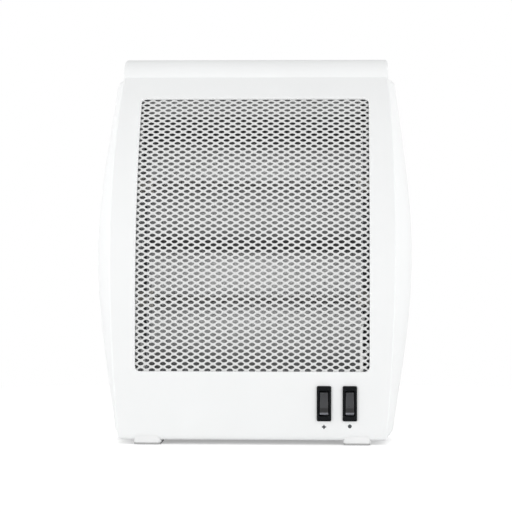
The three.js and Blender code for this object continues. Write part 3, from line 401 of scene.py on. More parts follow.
def plastic(name, colour, roughness, grain=0.03, grain_scale=2600, spread=0.02, gloss=0.05, shine=0.5):
    """Moulded plastic or paint: fine grain, soft mottling, a few rubbed patches."""
    mat, tree, shader = nodes_of(name)
    at = coordinates(tree)
    broad = noise(at, 14, 2)
    fine = noise(at, grain_scale, 2)
    patches = noise(at, 75, 4, 0.6)
    stops = [(0.3, tint(colour, 1 - spread)), (0.55, colour), (0.75, tint(colour, 1 + spread / 2))]
    rough = (patches, roughness - gloss, roughness + gloss)
    bumps = [(broad, 0.6, 0.05), (fine, grain, 0.5)]
    dress(shader, (broad, stops), rough, bumps, Specular_IOR_Level=shine)
    return mat


def hardware_finish():
    """Plated steel with fine scratches and slight staining."""
    mat, tree, shader = nodes_of("steel hardware")
    lines = noise(coordinates(tree), 700, 4, 0.6)
    stain = noise(coordinates(tree), 22, 4, 0.6)
    stops = [(0.3, (0.46, 0.46, 0.47)), (0.62, (0.62, 0.63, 0.65))]
    rough = (lines, HARDWARE_ROUGHNESS * 0.8, HARDWARE_ROUGHNESS * 1.25)
    dress(shader, (stain, stops), rough, [(lines, 0.02, 0.5)], Metallic=1.0)
    return mat


BLACK_SATIN = ((0.03, 0.031, 0.034), 0.34, 0.015, 2600, 0.3, 0.08)  # as plastic() takes them
HARDWARE_ROUGHNESS = 0.34
# Painted light: pale bands stand in for reflections above the tubes, dark bands for shade in the folds and
# behind the coils.
REFLECTOR_PAINTED_LIGHT = [
    (0.0, 0.2), (0.12, 0.52), (0.35, 0.9), (0.46, 0.5), (0.54, 0.3), (0.62, 1.0), (0.82, 1.0), (0.9, 0.7),
    (0.97, 0.08), (1.04, 0.08), (1.14, 0.42), (1.3, 0.65), (1.42, 0.45), (1.52, 0.35), (1.64, 0.85),
    (1.8, 0.4), (1.9, 0.08), (2.1, 0.03), (2.3, 0.8),
]  # height in troughs, and how pale the sheet is painted there: painted reflections above each tube, painted shade in the folds
REFLECTOR_WANDER = 2.5  # how far the painted bands of light and shade wander up and down


def reflector_finish():
    """Rolled sheet with painted light: bright painted reflections above each tube, and painted shade dull
    along the folds and behind the coils.
    """
    mat, tree, shader = nodes_of("polished reflector")
    streaks = noise(coordinates(tree, (0.03, 1, 1)), 420, 4, 0.6)
    waves = noise(coordinates(tree, (0.35, 1, 1)), 16, 2)
    wander = span(waves, -REFLECTOR_WANDER * MM, REFLECTOR_WANDER * MM)
    height = math_node("ADD", height_in(coordinates(tree)), wander)
    top = REFLECTOR_PAINTED_LIGHT[-1][0]
    place = span(height, 0, 1, (TROUGH_BOTTOM * MM, (TROUGH_BOTTOM + top * TROUGH_HEIGHT) * MM))
    stops = [(at / top, (level,) * 3) for at, level in REFLECTOR_PAINTED_LIGHT]
    bumps = [(waves, 0.5, 0.35), (streaks, 0.012, 0.6)]
    dress(shader, (place, stops), (streaks, 0.3, 0.45), bumps, Metallic=0.02)
    return mat


def galvanised_finish():
    """Zinc spangle: cells of slightly different grey."""
    mat, tree, shader = nodes_of("galvanised")
    at = coordinates(tree)
    cells, grey = add(tree, "TexVoronoi", Scale=170), add(tree, "SeparateColor")
    link(at, cells.inputs["Vector"])
    link(cells.outputs["Color"], grey.inputs["Color"])
    stops = [(0.0, (0.42, 0.43, 0.45)), (0.5, (0.55, 0.56, 0.58)), (1.0, (0.66, 0.67, 0.69))]
    bumps = [(noise(at, 600, 3), 0.02, 0.5)]
    rough = (grey.outputs["Green"], 0.34, 0.52, (0, 1))
    dress(shader, (grey.outputs["Red"], stops), rough, bumps, Metallic=0.9)
    return mat


def quartz_finish():
    """Clear fused quartz with drawn lines along the tube."""
    mat, tree, shader = nodes_of("quartz")
    lines = noise(coordinates(tree, (0.06, 1, 1)), 700, 4, 0.6)
    cloud = noise(coordinates(tree, (0.5, 1, 1)), 90, 3)
    stops = [(0.3, (0.92, 0.92, 0.92)), (0.7, (0.97, 0.97, 0.97))]
    rough, bumps = (lines, 0.04, 0.12), [(lines, 0.02, 0.5)]
    dress(shader, (cloud, stops), rough, bumps, Transmission_Weight=0.95, IOR=1.46)
    return mat


def wire_finish():
    """Oxidised resistance wire."""
    mat, tree, shader = nodes_of("heating wire")
    scale = noise(coordinates(tree), 1800, 4, 0.65)
    stops = [(0.35, (0.10, 0.095, 0.09)), (0.55, (0.22, 0.2, 0.185)), (0.75, (0.34, 0.31, 0.28))]
    dress(shader, (scale, stops), (scale, 0.35, 0.6), [(scale, 0.03, 0.6)], Metallic=0.8)
    return mat


def ceramic_finish():
    """Unglazed steatite: chalky, with fine speckle."""
    mat, tree, shader = nodes_of("ceramic")
    at = coordinates(tree)
    speckle = noise(at, 2400, 2, 0.7)
    cloud = noise(at, 120, 3)
    stops = [(0.22, (0.52, 0.47, 0.40)), (0.36, (0.76, 0.73, 0.66)), (0.7, (0.84, 0.81, 0.75))]
    dress(shader, (speckle, stops), (cloud, 0.6, 0.8), [(speckle, 0.04, 0.7)])
    return mat


def sleeve_finish():
    """Braided glass-fibre sleeve: two crossing sets of fine ribs."""
    mat, tree, shader = nodes_of("lead sleeve")
    ribs = []
    for turn_by in (0.9, -0.9):
        wave = add(tree, "TexWave", Scale=420, Distortion=0.6)
        link(coordinates(tree, rotation=(turn_by, turn_by, 0)), wave.inputs["Vector"])
        ribs.append(wave.outputs["Fac"])
    braid = math_node("MAXIMUM", *ribs)
    stops = [(0.1, (0.74, 0.74, 0.72)), (0.7, (0.93, 0.93, 0.92))]
    dress(shader, (braid, stops), (braid, 0.75, 0.6, (0, 1)), [(braid, 0.12, 0.8)])
    return mat


def painted_light_by_height(mat, axis_range, bands):
    """Multiplies a finish's colour by painted light and shade that change with the piece's own height."""
    tree = mat.node_tree
    colour = tree.nodes["Principled BSDF"].inputs["Base Color"]
    plain = colour.links[0].from_socket
    place = span(height_in(coordinates(tree)), 0, 1, tuple(z * MM for z in axis_range))
    most = max(level for _, level in bands)
    shade = ramp(place, [(at, (level / most,) * 3) for at, level in bands])
    boost, tone = add(tree, "VectorMath"), add(tree, "VectorMath")
    boost.operation, tone.operation = "SCALE", "MULTIPLY"
    boost.inputs["Scale"].default_value = most
    link(shade, boost.inputs[0])
    link(plain, tone.inputs[0])
    link(boost.outputs["Vector"], tone.inputs[1])
    link(tone.outputs["Vector"], colour)
    return mat


# Painted light on the rocker: a painted highlight for the pale line, painted shade for the hollow and the
# lower end.
ROCKER_PAINTED_LIGHT = [
    (0.0, 0.2), (0.06, 0.2), (0.09, 8.0), (0.19, 9.5), (0.23, 0.1), (0.34, 0.1), (0.38, 1.05), (1.0, 1.2),
]
ROCKER_PAINTED_LIGHT_REACH = 14  # above and below the rocker's middle
# Painted shade: the bottom of the foot is greyed to stand in for the shadow line under it.
SOLE_PAINTED_SHADE = [(0.0, 0.5), (0.15, 0.5), (0.17, 1.0), (1.0, 1.0)]
SOLE_PAINTED_SHADE_TOP = 10


def rocker_finish():
    """Black satin with painted light: painted shade darkens the hollow and the lower end, and a painted
    highlight makes a pale line towards the raised end.
    """
    low, high = middle("rocker_left", 2) - ROCKER_PAINTED_LIGHT_REACH, middle("rocker_left", 2) + ROCKER_PAINTED_LIGHT_REACH
    return painted_light_by_height(plastic("rocker satin", *BLACK_SATIN), (low, high), ROCKER_PAINTED_LIGHT)


def foot_finish():
    """White moulding, with painted shade greying the sole as a shadow line under the foot."""
    white = plastic("foot white", (0.86, 0.865, 0.865), 0.6, 0.03, spread=0.03)
    return painted_light_by_height(white, (0, SOLE_PAINTED_SHADE_TOP), SOLE_PAINTED_SHADE)


FINISHES = {
    "white_shell": plastic("white shell", (0.895, 0.905, 0.905), 0.42, 0.012, spread=0.012),
    "white_mesh": plastic("white mesh", (0.76, 0.765, 0.76), 0.5, 0.02, 1500, 0.03),
    "white_steel": plastic("white steel", (0.84, 0.845, 0.845), 0.5, 0.03, 900, 0.02),
    "black_gloss": plastic("black gloss", (0.005, 0.006, 0.007), 0.3, 0.006, spread=0.3, shine=0.1),
    "black_satin": plastic("black satin", *BLACK_SATIN),
    "cream_plastic": plastic("cream plastic", (0.72, 0.67, 0.55), 0.55, 0.02, spread=0.06),
    "gland_grey": plastic("gland grey", (0.045, 0.047, 0.052), 0.6, 0.03, spread=0.2),
    "print_ink": plastic("print ink", (0.075, 0.082, 0.086), 0.6, 0.01, spread=0.25, shine=0.2),
    "steel_hardware": hardware_finish(),
    "polished_reflector": reflector_finish(),
    "galvanised": galvanised_finish(),
    "quartz": quartz_finish(),
    "heating_wire": wire_finish(),
    "ceramic": ceramic_finish(),
    "lead_sleeve": sleeve_finish(),
    "rocker_satin": rocker_finish(),
    "foot_white": foot_finish(),
}

# ---- front panel

SIDE_POINTS = 44
END_POINTS = 36
CORNER_POINTS = 6


def matched_ring(sides, radius, cut=None):
    """A ring of (x, s) for a four-sided outline whose sides are functions.

    sides is (half width at an arc length, low, high); radius rounds every corner, except that cut gives
    the width and height taken off the two lower ones. Every ring made here has matching points."""
    side, low, high = sides
    r = radius
    ring = []

    def corner(cx, cs, start):
        ring.extend(arc(cx, cs, r, start, start + 1, CORNER_POINTS))

    def chamfer(sign, upwards):
        w, h = cut
        ends = [(sign * (side(low + h) - w), low), (sign * side(low + h), low + h)]
        a, b = ends if upwards else ends[::-1]
        ring.extend(between(a, b, t) for t in steps(0, 1, CORNER_POINTS))

    low_r, low_w = (r, r) if cut is None else (cut[1], cut[0])
    x_low = side(low + low_r) - low_w
    bottom = steps(-x_low, x_low, END_POINTS)[1:-1]
    up = steps(low + low_r, high - r, SIDE_POINTS)[1:-1]
    top = steps(side(high - r) - r, -(side(high - r) - r), END_POINTS)[1:-1]
    ring.extend((x, low) for x in bottom)
    if cut is None:
        corner(side(low + r) - r, low + r, 3)
    else:
        chamfer(1, True)
    ring.extend((side(s), s) for s in up)
    corner(side(high - r) - r, high - r, 0)
    ring.extend((x, high) for x in top)
    corner(-(side(high - r) - r), high - r, 1)
    ring.extend((-side(s), s) for s in reversed(up))
    if cut is None:
        corner(-(side(low + r) - r), low + r, 2)
    else:
        chamfer(-1, False)
    return ring


def height_at(s):
    return up_front(max(0.0, s))[1]


TOP_EDGE = 0.05  # the edge under the cap is this much tighter than the others
LOW_CORNER, CORNER_TAPER = (6.5, 5.5), 0.4  # cut off the lower corners, and how it shrinks inwards


def outline_ring(inset):
    cut = tuple(size - CORNER_TAPER * inset for size in LOW_CORNER)
    side = lambda s: half_width(height_at(s)) - inset
    return matched_ring((side, inset, LEAN_END - inset * TOP_EDGE), max(0.2, 1.0 - inset), cut)


def window_ring(grow, radius=None):
    half = WINDOW_HALF + grow
    low, high = arc_length(WINDOW_BOTTOM) - grow, arc_length(WINDOW_TOP) + grow
    radius = WINDOW_RADIUS + grow if radius is None else radius
    return matched_ring((lambda s: half, low, high), radius)


def on_front(ring, depth=0.0, back=0.0):
    """Ring of (x, s) laid on the front, sunk by depth along the normal and moved back along y."""
    points = []
    for x, s in ring:
        y, z = up_front(s, depth)
        points.append((x, y + back, z))
    return points


PANEL_EDGE = 1.6  # radius of the panel's outer edge
PANEL_RIM = 0.4  # chamfer round its rear rim
WINDOW_LIP = 0.9
RIB_RISE, RIB_WIDTH = 1.3, 1.5  # the rib that frames the grille behind the panel
SWITCH_HOLE = (5.8, 14.6)
FACE_SHARES = [
    0.02, 0.04, 0.065, 0.09, 0.115, 0.14, 0.17, 0.2, 0.23, 0.26, 0.32, 0.4, 0.5, 0.6, 0.7, 0.8, 0.9, 0.97, 1,
]
BACK_SHARES = [0.15, 0.3, 0.45, 0.6, 0.7, 0.76, 0.82, 0.88, 0.94, 1]


def face_rings(near, far, shares, depth=0.0):
    """Rings spread over the front between two outlines."""
    return [on_front([between(a, b, share) for a, b in zip(near, far)], depth) for share in shares]


def front_panel():
    rear, edge, lip = PANEL_RETURN - PANEL_RIM, PANEL_EDGE, WINDOW_LIP
    rings = [on_front(outline_ring(PANEL_RIM), back=PANEL_RETURN), on_front(outline_ring(0), back=rear)]
    for sine, cosine in quarter(4):
        rings.append(on_front(outline_ring(edge * (1 - cosine)), back=edge * (1 - sine)))
    rings += face_rings(outline_ring(edge), window_ring(lip), FACE_SHARES)
    for sine, cosine in list(quarter(3))[1:]:
        rings.append(on_front(window_ring(lip * (1 - sine)), depth=lip * (1 - cosine)))
    rings += [on_front(window_ring(0), WALL - 0.2), on_front(window_ring(0.2), WALL)]
    rib = GRILLE_MARGIN + GAP
    inner, outer = window_ring(rib, 0.7), window_ring(rib + RIB_WIDTH, 2)
    rings += [on_front(inner, WALL), on_front(inner, WALL + RIB_RISE)]
    rings += [on_front(outer, WALL + RIB_RISE), on_front(outer, WALL)]
    rings += face_rings(outer, outline_ring(WALL + 1), BACK_SHARES, WALL)
    rings += [on_front(outline_ring(WALL), back=y) for y in (WALL + 1.5, rear)]
    rings.append(on_front(outline_ring(WALL - PANEL_RIM), back=PANEL_RETURN))
    panel = build("panel_shell", loft(rings, loop=True), "white_shell", node="front_panel", sharp=30)
    holes = []
    for node in ("switch_housing_left", "switch_housing_right"):
        (cx, cz), (half_x, half_z) = (middle(node, 0), middle(node, 2)), SWITCH_HOLE
        holes.append((rounded(cx - half_x, cz - half_z, cx + half_x, cz + half_z, 0.6, 2), -5, 6))
    boolean(panel, cutter(holes), 30)


front_panel()

# ---- expanded-metal grille

MESH_STEPS_X = 44  # half pitches across the sheet
MESH_STEPS_S = 92  # and up it
STRAND = 2.2  # width seen from the front
HOLE_POWER = 1.7  # 1 makes a hole a diamond, 2 an ellipse
MESH_SHEET = 1.0
CELL_POINTS = 12
MESH_STRETCH = 0.085  # how much longer the cells are where the sheet is rolled back
STRETCH_FROM, STRETCH_TO = 0.42, 0.82  # shares of the rows between which they lengthen
HOLE_FLARE = 0.15  # a hole is this much wider behind
QUARTERS = [(1, 0), (0, 1), (-1, 0), (0, -1)]


def stretched(t):
    """Share of the sheet's length at share t of its rows: even below, drawn out above the middle."""
    def drawn(u):
        ramp_up = min(1.0, max(0.0, (u - STRETCH_FROM) / (STRETCH_TO - STRETCH_FROM)))
        return u + MESH_STRETCH * (0.2 * ramp_up**2 + max(0.0, u - STRETCH_TO))

    return drawn(t) / drawn(1.0)


def cell_outlines():
    """A cell's diamond and its hole, each as points of a unit cell in the same order."""
    per_side = CELL_POINTS // 4
    outline, hole = [], []
    for k in range(4):
        for i in range(per_side):
            t = i / per_side
            outline.append(between(QUARTERS[k], QUARTERS[(k + 1) % 4], t))
            angle = (k + t) * pi / 2
            c, n = cos(angle), sin(angle)
            r = (abs(c) ** HOLE_POWER + abs(n) ** HOLE_POWER) ** (-1 / HOLE_POWER)
            hole.append((r * c, r * n))
    return outline, hole


def grille():
    half = WINDOW_HALF + GRILLE_MARGIN
    low, high = (arc_length(z) for z in extent("grille", 2))
    step_x, step_s = 2 * half / MESH_STEPS_X, (high - low) / MESH_STEPS_S
    verts, faces, known = [], [], {}

    def vertex(x, s, depth):
        x, s = max(-half, min(half, x)), max(low, min(high, s))
        key = (round(x, 3), round(s, 3), round(depth, 3))
        if key not in known:
            y, z = up_front(low + (high - low) * stretched((s - low) / (high - low)), WALL + GAP + depth)
            known[key] = len(verts)
            verts.append((x, y, z))
        return known[key]

    def bored(cx, cs, front, back):
        """A cell with its hole, between its border's points in front and behind."""
        near = [vertex(cx + x * hole_x, cs + s * hole_s, 0.32 + 0.26 * s) for x, s in hole]
        wide_x, wide_s, rear = hole_x + HOLE_FLARE, hole_s + HOLE_FLARE, MESH_SHEET - 0.1
        far = [vertex(cx + x * wide_x, cs + s * wide_s - 0.1, rear) for x, s in hole]
        for i in range(CELL_POINTS):
            j = (i + 1) % CELL_POINTS
            for a, b in ((front, near), (near, far), (far, back)):
                faces.append((a[i], a[j], b[j], b[i]))

    diagonal = hypot(step_x, step_s)
    hole_x = step_x - STRAND * diagonal / (2 * step_s)
    hole_s = step_s - STRAND * diagonal / (2 * step_x)
    outline, hole = cell_outlines()
    for column in range(MESH_STEPS_X + 1):
        for row in range(column % 2, MESH_STEPS_S + 1, 2):
            cx, cs = -half + column * step_x, low + row * step_s
            edge = [(cx + x * step_x, cs + s * step_s) for x, s in outline]
            front, back = ([vertex(x, s, depth) for x, s in edge] for depth in (0.0, MESH_SHEET))
            if 0 < column < MESH_STEPS_X and 0 < row < MESH_STEPS_S:
                bored(cx, cs, front, back)
            else:
                faces.append(tuple(i for n, i in enumerate(front) if front[n - 1] != i))
                faces.append(tuple(i for n, i in enumerate(back) if back[n - 1] != i)[::-1])
    walls(faces, known, half, low, high)
    return build("mesh_grille", (verts, faces), "white_mesh", node="grille", sharp=50)


def walls(faces, known, half, low, high):
    """Closes the net's border between its front and back."""
    def run(keep, order):
        found = []
        for (x, s, depth), index in known.items():
            if depth == 0.0 and keep(x, s):
                found.append((order(x, s), index, known[(x, s, round(MESH_SHEET, 3))]))
        found.sort()
        for (_, a, a_back), (_, b, b_back) in zip(found, found[1:]):
            faces.append((a, b, b_back, a_back))

    for edge in (-half, half):
        run(lambda x, s: abs(x - edge) < 0.002, lambda x, s: s)
    for edge in (low, high):
        run(lambda x, s: abs(s - edge) < 0.002, lambda x, s: x)


grille()

# ---- top cap


CAP_REAR = 7.0  # radius of the crown's rear edge
CAP_CORNER = 3.0  # and of its ends
CAP_BED = 0.12  # how far the cap's lower edge beds into the panel's


def cap_profile(inset):
    """(y, height above the cap's seat) from the front seat over the crown to the rear seat."""
    rise = HEIGHT - CAP_BOTTOM
    nose = arc(TOP_SETBACK + rise, 0, rise - inset, 2, 1, 10)
    rear = arc(DEPTH - CAP_REAR, rise - CAP_REAR, CAP_REAR - inset, 1, 0, 7)
    flat = [(mix(nose[-1][0], rear[0][0], t), nose[-1][1]) for t in (0.25, 0.5, 0.75)]
    return nose + flat + rear + [(DEPTH - inset, 2.0), (DEPTH - inset, 0.0)]


def cap_surface(inset):
    rise = HEIGHT - CAP_BOTTOM - inset
    half = half_width(PANEL_TOP) - inset
    corner = max(0.3, CAP_CORNER - inset)
    ends = [(half, share * (rise - corner) / rise) for share in steps(0, 1, 3)[:-1]]
    ends += [(x, z / rise) for x, z in arc(half - corner, rise - corner, corner, 0, 1, 8)]
    stations = ends + [(x, 1.0) for x in steps(half - corner, corner - half, 16)[1:-1]]
    stations += [(-x, f) for x, f in reversed(ends)]
    seat = PANEL_TOP - CAP_BED - CAP_BOTTOM
    profile = cap_profile(inset)
    return [[(x, y, CAP_BOTTOM + (f * h if h > 0.01 else seat)) for y, h in profile] for x, f in stations]


def shell_between(outer, inner):
    """Closed faces of two open grids with the same count of points, joined along their borders."""
    rows, columns = len(outer), len(outer[0])
    verts = [p for row in outer for p in row] + [p for row in inner for p in row]
    back = rows * columns
    faces = []
    for r in range(rows - 1):
        for c in range(columns - 1):
            a = r * columns + c
            quad = (a, a + 1, a + columns + 1, a + columns)
            faces.append(quad)
            faces.append(tuple(back + i for i in reversed(quad)))
    border = list(range(columns))
    border += [r * columns + columns - 1 for r in range(1, rows)]
    border += [(rows - 1) * columns + c for c in range(columns - 2, -1, -1)]
    border += [r * columns for r in range(rows - 2, 0, -1)]
    for i, a in enumerate(border):
        b = border[(i + 1) % len(border)]
        faces.append((a, back + a, back + b, b))
    return verts, faces


def top_cap():
    shape = shell_between(cap_surface(0), cap_surface(WALL))
    return build("cap_shell", shape, "white_shell", node="top_cap", sharp=50)


top_cap()

# ---- side cheeks


def cheek_front(z):
    return front_y(z) + PANEL_RETURN + GAP


def cheek_x(y, z):
    along = (y - cheek_front(z)) / (CHEEK_REAR_Y - cheek_front(z))
    reach = min(1.0, abs(z - SWELL_Z) / (PANEL_TOP - SWELL_Z))
    swell = END_SWELL + (CHEEK_SWELL - END_SWELL) * (1 - reach**2) ** 2
    ending = max(0.0, SHOULDER - (z - PANEL_BOTTOM), SHOULDER - (PANEL_TOP - z)) / SHOULDER
    shoulder = sqrt(1 - min(1.0, ending) ** 2)
    return half_width(z) - CHEEK_TAPER * along + swell * shoulder * sin(pi * along)


def cheek(sign, name, node):
    heights = [SHOULDER * (1 - cos(t * pi / 2)) for t in steps(0, 1, 8)]
    levels = [PANEL_BOTTOM + h for h in heights]
    levels += steps(PANEL_BOTTOM + SHOULDER, PANEL_TOP - SHOULDER, 56)[1:-1]
    levels += [PANEL_TOP - h for h in reversed(heights)]
    shares = [0.5 - 0.5 * cos(pi * t) for t in steps(0, 1, 22)]

    def surface(inset):
        rows = []
        for z in levels:
            z = max(PANEL_BOTTOM + inset, min(PANEL_TOP - inset, z))
            front, rear = cheek_front(z) + inset, CHEEK_REAR_Y - inset
            side = [(cheek_x(mix(front, rear, t), z) - inset, mix(front, rear, t), z) for t in shares]
            rows.append([(CHEEK_RIM_X, front, z)] + side + [(CHEEK_RIM_X, rear, z)])
        rows = [rows[0]] + rows + [rows[-1]]
        rows[0], rows[-1] = ([(CHEEK_RIM_X, y, z) for _, y, z in row] for row in (rows[0], rows[-1]))
        return [[(sign * x, y, z) for x, y, z in row] for row in rows]

    shape = shell_between(surface(0), surface(WALL))
    return bevel(build(name, shape, "white_shell", node=node, sharp=32), 0.5, 2, 50)


cheek(1, "cheek_shell_right", "side_cheek_right")
cheek(-1, "cheek_shell_left", "side_cheek_left")

# ---- rear cover with its hand grip

COVER_FRONT = DEPTH - 14
COVER_INSET = 4.0
COVER_EDGE = 4.0
GRIP = (46.0, PANEL_TOP - 40, PANEL_TOP - 19, PANEL_TOP - 13)  # half width, mouth's ends, pocket's top
GRIP_DEEP = 111.0
GRIP_ROUND = 2.5
LOUVRE_X, LOUVRE_HALF, LOUVRE_PITCH = 42, 32, 9
GLAND_X, GLAND_Z = middle("cable_gland", 0), middle("cable_gland", 2)
REAR_SCREWS = [f"rear_screw_{side}_{n}" for side in ("left", "right") for n in (1, 2, 3)]


def cover_ring(inset, y, radius):
    side = lambda z: half_width(z) - COVER_INSET - inset
    ring = matched_ring((side, PANEL_BOTTOM + inset, PANEL_TOP - inset), max(0.3, radius))
    return [(x, y, z) for x, z in ring]


def through_cover(outline):
    return outline, DEPTH - 3, DEPTH + 2


def rear_cover():
    rings = [cover_ring(1 + COVER_EDGE, DEPTH - 1, 1.5)]
    inner = COVER_EDGE - 1
    for sine, cosine in quarter(5, 1, 0):
        rings.append(cover_ring(1 + inner * (1 - cosine), DEPTH - COVER_EDGE + inner * sine, 3))
    rings += [cover_ring(1, COVER_FRONT, 3), cover_ring(0.5, COVER_FRONT, 3.6)]
    rings.append(cover_ring(0, COVER_FRONT + 0.4, 4))
    for sine, cosine in quarter(7):
        inset = COVER_EDGE * (1 - cosine)
        rings.append(cover_ring(inset, DEPTH - COVER_EDGE * (1 - sine), 4 - inset / 2))
    cover = build("rear_cover_shell", loft(rings), "white_steel", node="rear_cover", sharp=30)
    lows = [84 + LOUVRE_PITCH * k for k in range(5)] + [GRIP[1] - 66 + LOUVRE_PITCH * k for k in range(6)]
    cuts = [
        rounded(x - LOUVRE_HALF, z - 1.7, x + LOUVRE_HALF, z + 1.7, 1.6, 4)
        for z in lows
        for x in (-LOUVRE_X, LOUVRE_X)
    ]
    cuts += [rounded(-GRIP[0], GRIP[1], GRIP[0], GRIP[2], 3, 6), circle(GLAND_X, GLAND_Z, 7.3, 40)]
    cuts += [circle(middle(node, 0), middle(node, 2), 1.9, 20) for node in REAR_SCREWS]
    boolean(cover, cutter([through_cover(outline) for outline in cuts]), 30)
    bevel(cover, 0.25, 2, 60)


def grip_pocket():
    half, low, _, top = GRIP

    def ring(grow, y, r=None):
        flat = rounded(-half - grow, low - grow, half + grow, top + grow, 3.0 + grow if r is None else r, 8)
        return [(x, y, z) for x, z in flat]

    def bowl(wall, start, end):
        """The pocket's rounded floor edge, on its inner face or a wall's thickness outside it."""
        return [
            ring(wall - GRIP_ROUND * (1 - cosine), GRIP_DEEP - wall + GRIP_ROUND * (1 - sine))
            for sine, cosine in quarter(5, start, end)
        ]

    rings = [ring(-4, GRIP_DEEP, 1.5)] + bowl(0, 1, 0) + [ring(0, DEPTH - 1.1), ring(1, DEPTH - 1.1)]
    rings += bowl(1, 0, 1) + [ring(-4, GRIP_DEEP - 1, 1.5)]
    build("grip_pocket", loft(rings), "white_steel", sharp=40)


rear_cover()
grip_pocket()

# ---- screws

SCREW_HEAD = 3.4
CROSS_REACH, CROSS_HALF = 1.75, 0.42
THREAD_PITCH = 0.55


def cross_screw(length):
    """A pan-head screw's mesh about +Y, bearing face at y = 0, with a cross recess."""
    profile = [(0, 1.6), (1.4, 1.56), (2.3, 1.38), (2.95, 1.02), (3.3, 0.55), (SCREW_HEAD, 0.2), (3.35, 0)]
    turns = int((length - 3) / THREAD_PITCH)
    profile += [(1.6, 0)] + [(1.6 - 0.22 * (k % 2), -0.8 - THREAD_PITCH * k) for k in range(turns)]
    profile += [(1.2, 1.6 - length), (0, -length)]
    shape = turn(profile, 28, lambda u, v, h: (u, h, v))
    screw = build("screw_pattern", shape, "steel_hardware", body=None, sharp=50)
    arm, wide = CROSS_REACH, CROSS_HALF
    cross = [(arm, wide), (wide, wide), (wide, arm), (-wide, arm), (-wide, wide), (-arm, wide)]
    cross += [(-x, -z) for x, z in cross]
    boolean(screw, cutter([(cross, 0.45, 3)]))
    mesh = screw.data
    bpy.data.objects.remove(screw)
    return mesh


def screw_at(mesh, name, node, rotation, at):
    """A copy of a screw's mesh, turned and put at a drawing point."""
    copy = mesh.copy()
    copy.name = name
    x, y, z = at
    place = Matrix.Translation((x * MM, FRONT + y * MM, z * MM))
    copy.transform(place @ rotation @ Matrix.Translation((0, -FRONT, 0)))
    finish_piece(name, copy, "steel_hardware", node=node, sharp=50)


def screws():
    long, short = cross_screw(20), cross_screw(8)
    for i, node in enumerate(REAR_SCREWS):
        twist = Matrix.Rotation(0.35 + 1.1 * i, 4, "Y")
        at = (middle(node, 0), DEPTH + GAP, middle(node, 2))
        screw_at(long, f"screw_back_{i + 1}", node, twist, at)
    feet = [f"foot_screw_{end}_{side}" for end in ("front", "rear") for side in ("left", "right")]
    for i, node in enumerate(feet):
        turn_down = Matrix.Rotation(-pi / 2, 4, "X") @ Matrix.Rotation(0.6 + 0.9 * i, 4, "Y")
        at = (middle(node, 0), middle(node, 1), extent(node, 2)[0] + 1.6)
        screw_at(short, f"screw_foot_{i + 1}", node, turn_down, at)


screws()

# ---- heater chamber

TROUGH_DEPTH = 34.0
SHEET_HALF = 0.39  # half the reflector's thickness
TROUGH_BACK = extent("reflector", 1)[1] - 0.8
REFLECTOR_HALF = extent("reflector", 0)[1]
TUBE_Y = middle("quartz_tube_lower", 1)
TUBE_HALF = extent("quartz_tube_lower", 0)[1]


def reflector():
    mouth = TROUGH_BACK - TROUGH_DEPTH
    foot_y, foot_z = extent("reflector", 1)[0], extent("reflector", 2)[0]
    line = [(foot_y, foot_z + 0.4)] + [(y, foot_z + 0.4) for y in steps(foot_y, mouth, 4)[1:]]
    for level in (0, 1):
        centre = TROUGH_BOTTOM + TROUGH_HEIGHT * (level + 0.5)
        for t in steps(-1, 1, 44):
            line.append((TROUGH_BACK - TROUGH_DEPTH * t * t + 0.4, centre + t * (TROUGH_HEIGHT - 1) / 2))
    top = extent("reflector", 2)[1]
    end = (front_y(PANEL_TOP) + WALL + GAP + 0.4, top)
    line += [between(line[-1], end, t) for t in steps(0, 1, 6)[1:]]
    normals = []
    for i in range(len(line)):
        a, b = line[max(0, i - 1)], line[min(len(line) - 1, i + 1)]
        dy, dz = b[0] - a[0], b[1] - a[1]
        length = hypot(dy, dz)
        normals.append((-dz / length, dy / length))
    section = [(y + SHEET_HALF * ny, z + SHEET_HALF * nz) for (y, z), (ny, nz) in zip(line, normals)]
    pairs = reversed(list(zip(line, normals)))
    section += [(y - SHEET_HALF * ny, z - SHEET_HALF * nz) for (y, z), (ny, nz) in pairs]
    rings = [[(x, y, z) for y, z in section] for x in steps(-REFLECTOR_HALF, REFLECTOR_HALF, 20)]
    build("trough_reflector", loft(rings), "polished_reflector", node="reflector")


def along_x(sign, z):
    return lambda u, v, h: (sign * h, TUBE_Y + u, z + v)


TUBE_RADIUS, TUBE_BORE = 5.5, 4.3
COIL_TURNS, COIL_RADIUS, COIL_WIRE = 150, 3.1, 0.43


def quartz_tube(level, z):
    outer, bore, end = TUBE_RADIUS, TUBE_BORE, TUBE_HALF
    profile = [(bore + 0.2, -end), (outer - 0.2, -end), (outer, 0.4 - end)]
    profile += [(outer, h) for h in steps(-end + 6, end - 6, 18)]
    profile += [(outer, end - 0.4), (outer - 0.2, end), (bore + 0.2, end), (bore, end - 0.3)]
    profile.append((bore, 0.3 - end))
    build(f"tube_{level}", turn(profile, 48, along_x(1, z)), "quartz", node=f"quartz_tube_{level}")


def sweep(line, radius, sides):
    """A round wire along a line of drawing points, as verts and faces."""
    points, last = [Vector(p) for p in line], len(line) - 1
    tangents = [(points[min(last, i + 1)] - points[max(0, i - 1)]).normalized() for i in range(last + 1)]
    angles = around(sides)
    normal = tangents[0].orthogonal().normalized()
    rings = []
    for point, tangent in zip(points, tangents):
        normal = (normal - tangent * normal.dot(tangent)).normalized()
        side = tangent.cross(normal)
        rings.append([tuple(point + (normal * cos(a) + side * sin(a)) * radius) for a in angles])
    return loft(rings)


